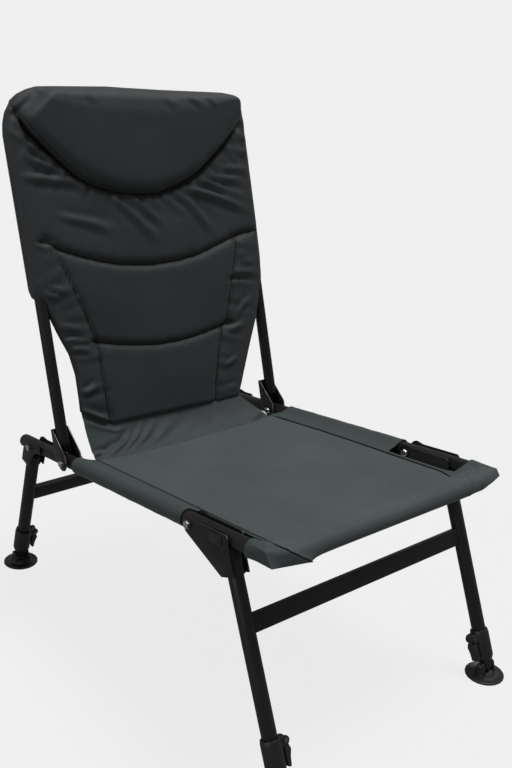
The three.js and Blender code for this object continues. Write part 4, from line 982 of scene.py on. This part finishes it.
def pad_front(x, a, r, v):
    """How far the front stands out from the plane of the tube."""
    crown = np.interp(
        r,
        [0, 0.05, 0.5, 1, 1.5, 2, 2.5, 2.9, 3, 3.024, 3.048, 3.072, 3.1, 3.15, 3.25, 3.5, 3.75,
         3.88, 4],
        [0.007, 0.010, 0.0135, 0.0145, 0.0175, 0.0185, 0.0205, 0.019, 0.0185, 0.0255, 0.0292,
         0.0315, 0.0332, 0.0346, 0.0362, 0.0392, 0.0412, 0.037, 0.022],
    )
    sides = np.interp(
        r, [0, 0.5, 1.35, 1.55, 3, 4], [0.006, 0.009, 0.012, TUBE_COVER, TUBE_COVER, TUBE_COVER],
    )

    # The pillow is boxed at its ends, and below it the pad thins softly to its sides.
    square = np.where(v < 0, np.clip(0.80 + (0.682 - a) * 2.9, 0.80, 0.97), 0.985)
    box_end = smooth((square - np.abs(v)) / np.where(v < 0, 0.14, 0.09))
    soft_side = 1 - np.abs(v) ** 2.6
    boxed = sides + (crown - sides) * np.where(r > 3, box_end, soft_side)
    blend = smooth((r - 2.85) / 0.2)
    depth = (sides + (crown - sides) * soft_side) * (1 - blend) + boxed * blend

    # The seams draw the cloth in, and it puckers at both sides of them.
    for name, draw, reach, below, above, seed in (
        ("pillow", 0.0125, 0.0070, 0.0034, 0.0006, 1.0),
        ("upper", 0.0085, 0.0064, 0.0009, 0.0016, 2.3),
        ("lower", 0.0072, 0.0058, 0.0008, 0.0010, 3.1),
    ):
        gap, turn, along = line_distance(x, a, cross_seams[name])
        size = np.where(turn < 0, below, above)
        length = np.where(turn < 0, 0.030, 0.016)
        fade = unit(gap / 0.006) * np.exp(-gap / length)
        drawn = draw * smooth((pad_half(a, v) - np.abs(x)) / 0.028)
        drawn = drawn * np.exp(-((gap / reach) ** 1.35))
        depth = depth - drawn + size * fade * pucker(along, seed)
    for line, seed in ((near_seam, 3.0), (far_seam, 5.0)):
        gap, turn, along = line_distance(x, a, line)
        outside = np.where(line is near_seam, turn < 0, turn > 0)
        size = np.where(outside, 0.0015, 0.0006)
        fade = unit(gap / 0.005) * np.exp(-gap / np.where(outside, 0.045, 0.012))
        drawn = 0.0048 * np.exp(-((gap / 0.0048) ** 1.3))
        depth = depth - drawn + size * fade * pucker(along * 0.8, seed)
    for x0, a0, x1, a1, height, width in pad_folds:
        start, step = np.array((x0, a0)) / 1000, np.array((x1 - x0, a1 - a0)) / 1000
        length = math.hypot(*step)
        t = ((x - start[0]) * step[0] + (a - start[1]) * step[1]) / length**2
        off = ((x - start[0]) * -step[1] + (a - start[1]) * step[0]) / length / (width / 1000)
        off = off + 0.35 * np.sin(t * 4 + x0)
        taper = smooth((t + 0.12) / 0.35) * smooth((1.12 - t) / 0.45)
        wide = off * (1.3 - 0.5 * unit(t))
        profile = hump(wide) - 0.55 * hump(wide - 1.7) - 0.35 * hump(wide + 1.7)
        depth = depth + FOLD_GAIN * height / 1000 * profile * taper
    return depth + 0.0009 * ripple(x * 22, a * 17, 1) * (1 - np.abs(v) ** 4) * unit(r * 3)


def pad_rear(r):
    """How far the pad stands out behind the plane of the tube."""
    return np.interp(
        r, [0, 0.04, 0.5, 1.35, 1.55, 3.9, 4],
        [0.004, 0.0055, 0.0065, 0.008, TUBE_COVER, TUBE_COVER, 0.013],
    )


near_rows = np.array([0.012, 0.026, 0.045, 0.07, 0.10])
span_rows = np.linspace(0.14, 0.86, 24)
one_span = np.concatenate([[0], near_rows, span_rows, 1 - near_rows[::-1]])
row_shares = np.concatenate([
    [0, 0.004, 0.012], one_span[2:], 1 + one_span, 2 + one_span, 3 + one_span[:-3],
    [3.93, 3.96, 3.98, 3.993, 4],
])
column_turns = np.linspace(-1, 1, 103)
column_shares = np.sin(column_turns * math.pi / 2) * 0.35 + column_turns * 0.65


def pad_side(rearward):
    """The pad's rear or its front, rounded to meet the other at the outline."""
    end_round, foot_round = 0.022, 0.006

    def place(v, r):
        a = pad_height(r, v)
        half = pad_half(a, v)
        x = v * half
        edge_round = np.interp(a, [0.285, 0.305], [0.008, TUBE_COVER])
        edge = unit((half - np.abs(x)) / edge_round)
        end = unit((pad_line(4, v) - a) / end_round)
        foot = unit((a - pad_line(0, v)) / foot_round)
        rounding = np.sqrt(edge * (2 - edge)) * np.sqrt(end * (2 - end))
        rounding = rounding * np.sqrt(foot * (2 - foot))
        rounding = np.where(np.abs(v) > 0.9999, 0, rounding)
        y = TUBE_SETBACK + (pad_rear(r) if rearward else -pad_front(x, a, r, v)) * rounding
        return np.stack([x, y, a], axis=1)

    return place


def pad_seams(across, along, points):
    best, run = np.full(len(across), 1.0), np.zeros(len(across))
    for line in (*cross_seams.values(), near_seam, far_seam):
        gap, _, length = line_distance(points[:, 0], points[:, 2], line)
        run, best = np.where(gap < best, length, run), np.minimum(gap, best)
    return best, run


pad = merged(
    laid_grid(column_shares, row_shares, pad_side(False), (0.27, 0.16), pad_seams),
    laid_grid(column_shares, row_shares, pad_side(True), (0.27, 0.16)),
)
bmesh.ops.transform(pad, matrix=back_place, verts=pad.verts)
bmesh.ops.recalc_face_normals(pad, faces=pad.faces)
back_pad_piece = link_piece("back_pad_cover", pad, [charcoal_cloth], "backrest", None)
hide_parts("back_pad")

# Joining cloth: the gathered strip of seat cloth sewn to the rear of the seat panel and to
# the foot of the back pad. Its folds fan from the corner of the seat that is drawn in most.
# A fold goes from and to (share of the half width, share of
# the way up), and then come its height in mm and its half width as a share.
strip_folds = (
    (-0.99, 0.12, -0.70, 0.60, 8.0, 0.028), (-0.94, 0.06, -0.52, 0.80, 9.0, 0.030),
    (-0.85, 0.03, -0.40, 0.84, 8.0, 0.032), (-0.75, 0.03, -0.26, 0.86, 5.5, 0.038),
    (-0.60, 0.05, -0.05, 0.85, 3.0, 0.050), (-0.99, 0.34, -0.82, 0.44, 5.0, 0.028),
    (-1.02, 0.88, -0.58, 0.86, 5.0, 0.020), (0.99, 0.30, 0.72, 0.14, 5.0, 0.045),
    (0.99, 0.16, 0.74, 0.05, -4.0, 0.040), (0.30, 0.10, 0.62, 0.70, 1.4, 0.06),
    (-0.30, 0.10, 0.22, 0.72, 1.6, 0.06),
)


def joining_strip(across, t):
    """A curve from the seat's rear seam to the pad's foot, lifted off itself by the folds."""
    share = across * 2 - 1
    dip = 1 - share**2
    zero, one = np.zeros_like(share), np.ones_like(share)
    near_x, far_x = -0.211, 0.2035
    seam_across = near_x + (far_x - near_x) * across
    seam_s = panel_rear(across) + 0.006
    seam_h = SEAM_HEIGHT - PANEL_SAG * 0.65 * dip - 0.0030
    start = np.array(rail_place) @ np.stack([seam_across, -seam_s, seam_h, one])
    middle = np.array(rail_place) @ np.stack([
        -0.2115 + 0.4165 * across, zero - 0.181, -0.012 + 0.012 * across - 0.006 * dip, one,
    ])
    foot_a = pad_line(0, share)
    foot_x = share * pad_half(foot_a, share) * 0.992
    end = np.array(back_place) @ np.stack([
        foot_x, zero + TUBE_SETBACK - 0.0012, foot_a + 0.0045, one,
    ])
    point = (1 - t) ** 2 * start + 2 * t * (1 - t) * middle + t**2 * end
    tangent = 2 * (1 - t) * (middle - start) + 2 * t * (end - middle)
    tangent = tangent / np.linalg.norm(tangent[:3], axis=0)
    lift = 0.0006 * ripple(share * 9, t * 3, 5) + 0.0045 * smooth(t / 0.12)
    for p0, t0, p1, t1, height, width in strip_folds:
        step = np.array((p1 - p0, (t1 - t0) * 0.5))
        length = np.hypot(*step)
        way = ((share - p0) * step[0] + (t - t0) * 0.5 * step[1]) / length**2
        off = ((share - p0) * -step[1] + (t - t0) * 0.5 * step[0]) / length / width
        taper = smooth((way + 0.1) / 0.35) * smooth((1.1 - way) / 0.4)
        profile = hump(off) - 0.6 * hump(off - 1.6)
        lift = lift + height / 1000 * taper * profile
    lift = lift * np.sin(math.pi * unit(t)) ** 0.6
    point[1] += -tangent[2] * lift
    point[2] += tangent[1] * lift
    return point[:3].T


# The strip's distance from its seam at the seat, for its stitches and the painted crease shade
# there.
def strip_seams(across, along, points):
    return along * 0.11 + 0.0005, points[:, 0]


# The joining strip is the same slate polyester with a darker colour, as painted shade.
strip_cloth_painted_shade = woven_cloth(
    "slate_polyester_strip_painted_shade", (0.032, 0.040, 0.041), (0.049, 0.060, 0.061), (0.08, 0.095, 0.095),
)
strip = thickened(laid_grid(
    np.linspace(0, 1, 141), np.linspace(0, 1, 53), joining_strip, (0.41, 0.11), strip_seams,
), facing_up)
joining_piece = link_piece("joining_strip", strip, [strip_cloth_painted_shade], None, 60.0)
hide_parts("joining_cloth")
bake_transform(joining_piece)
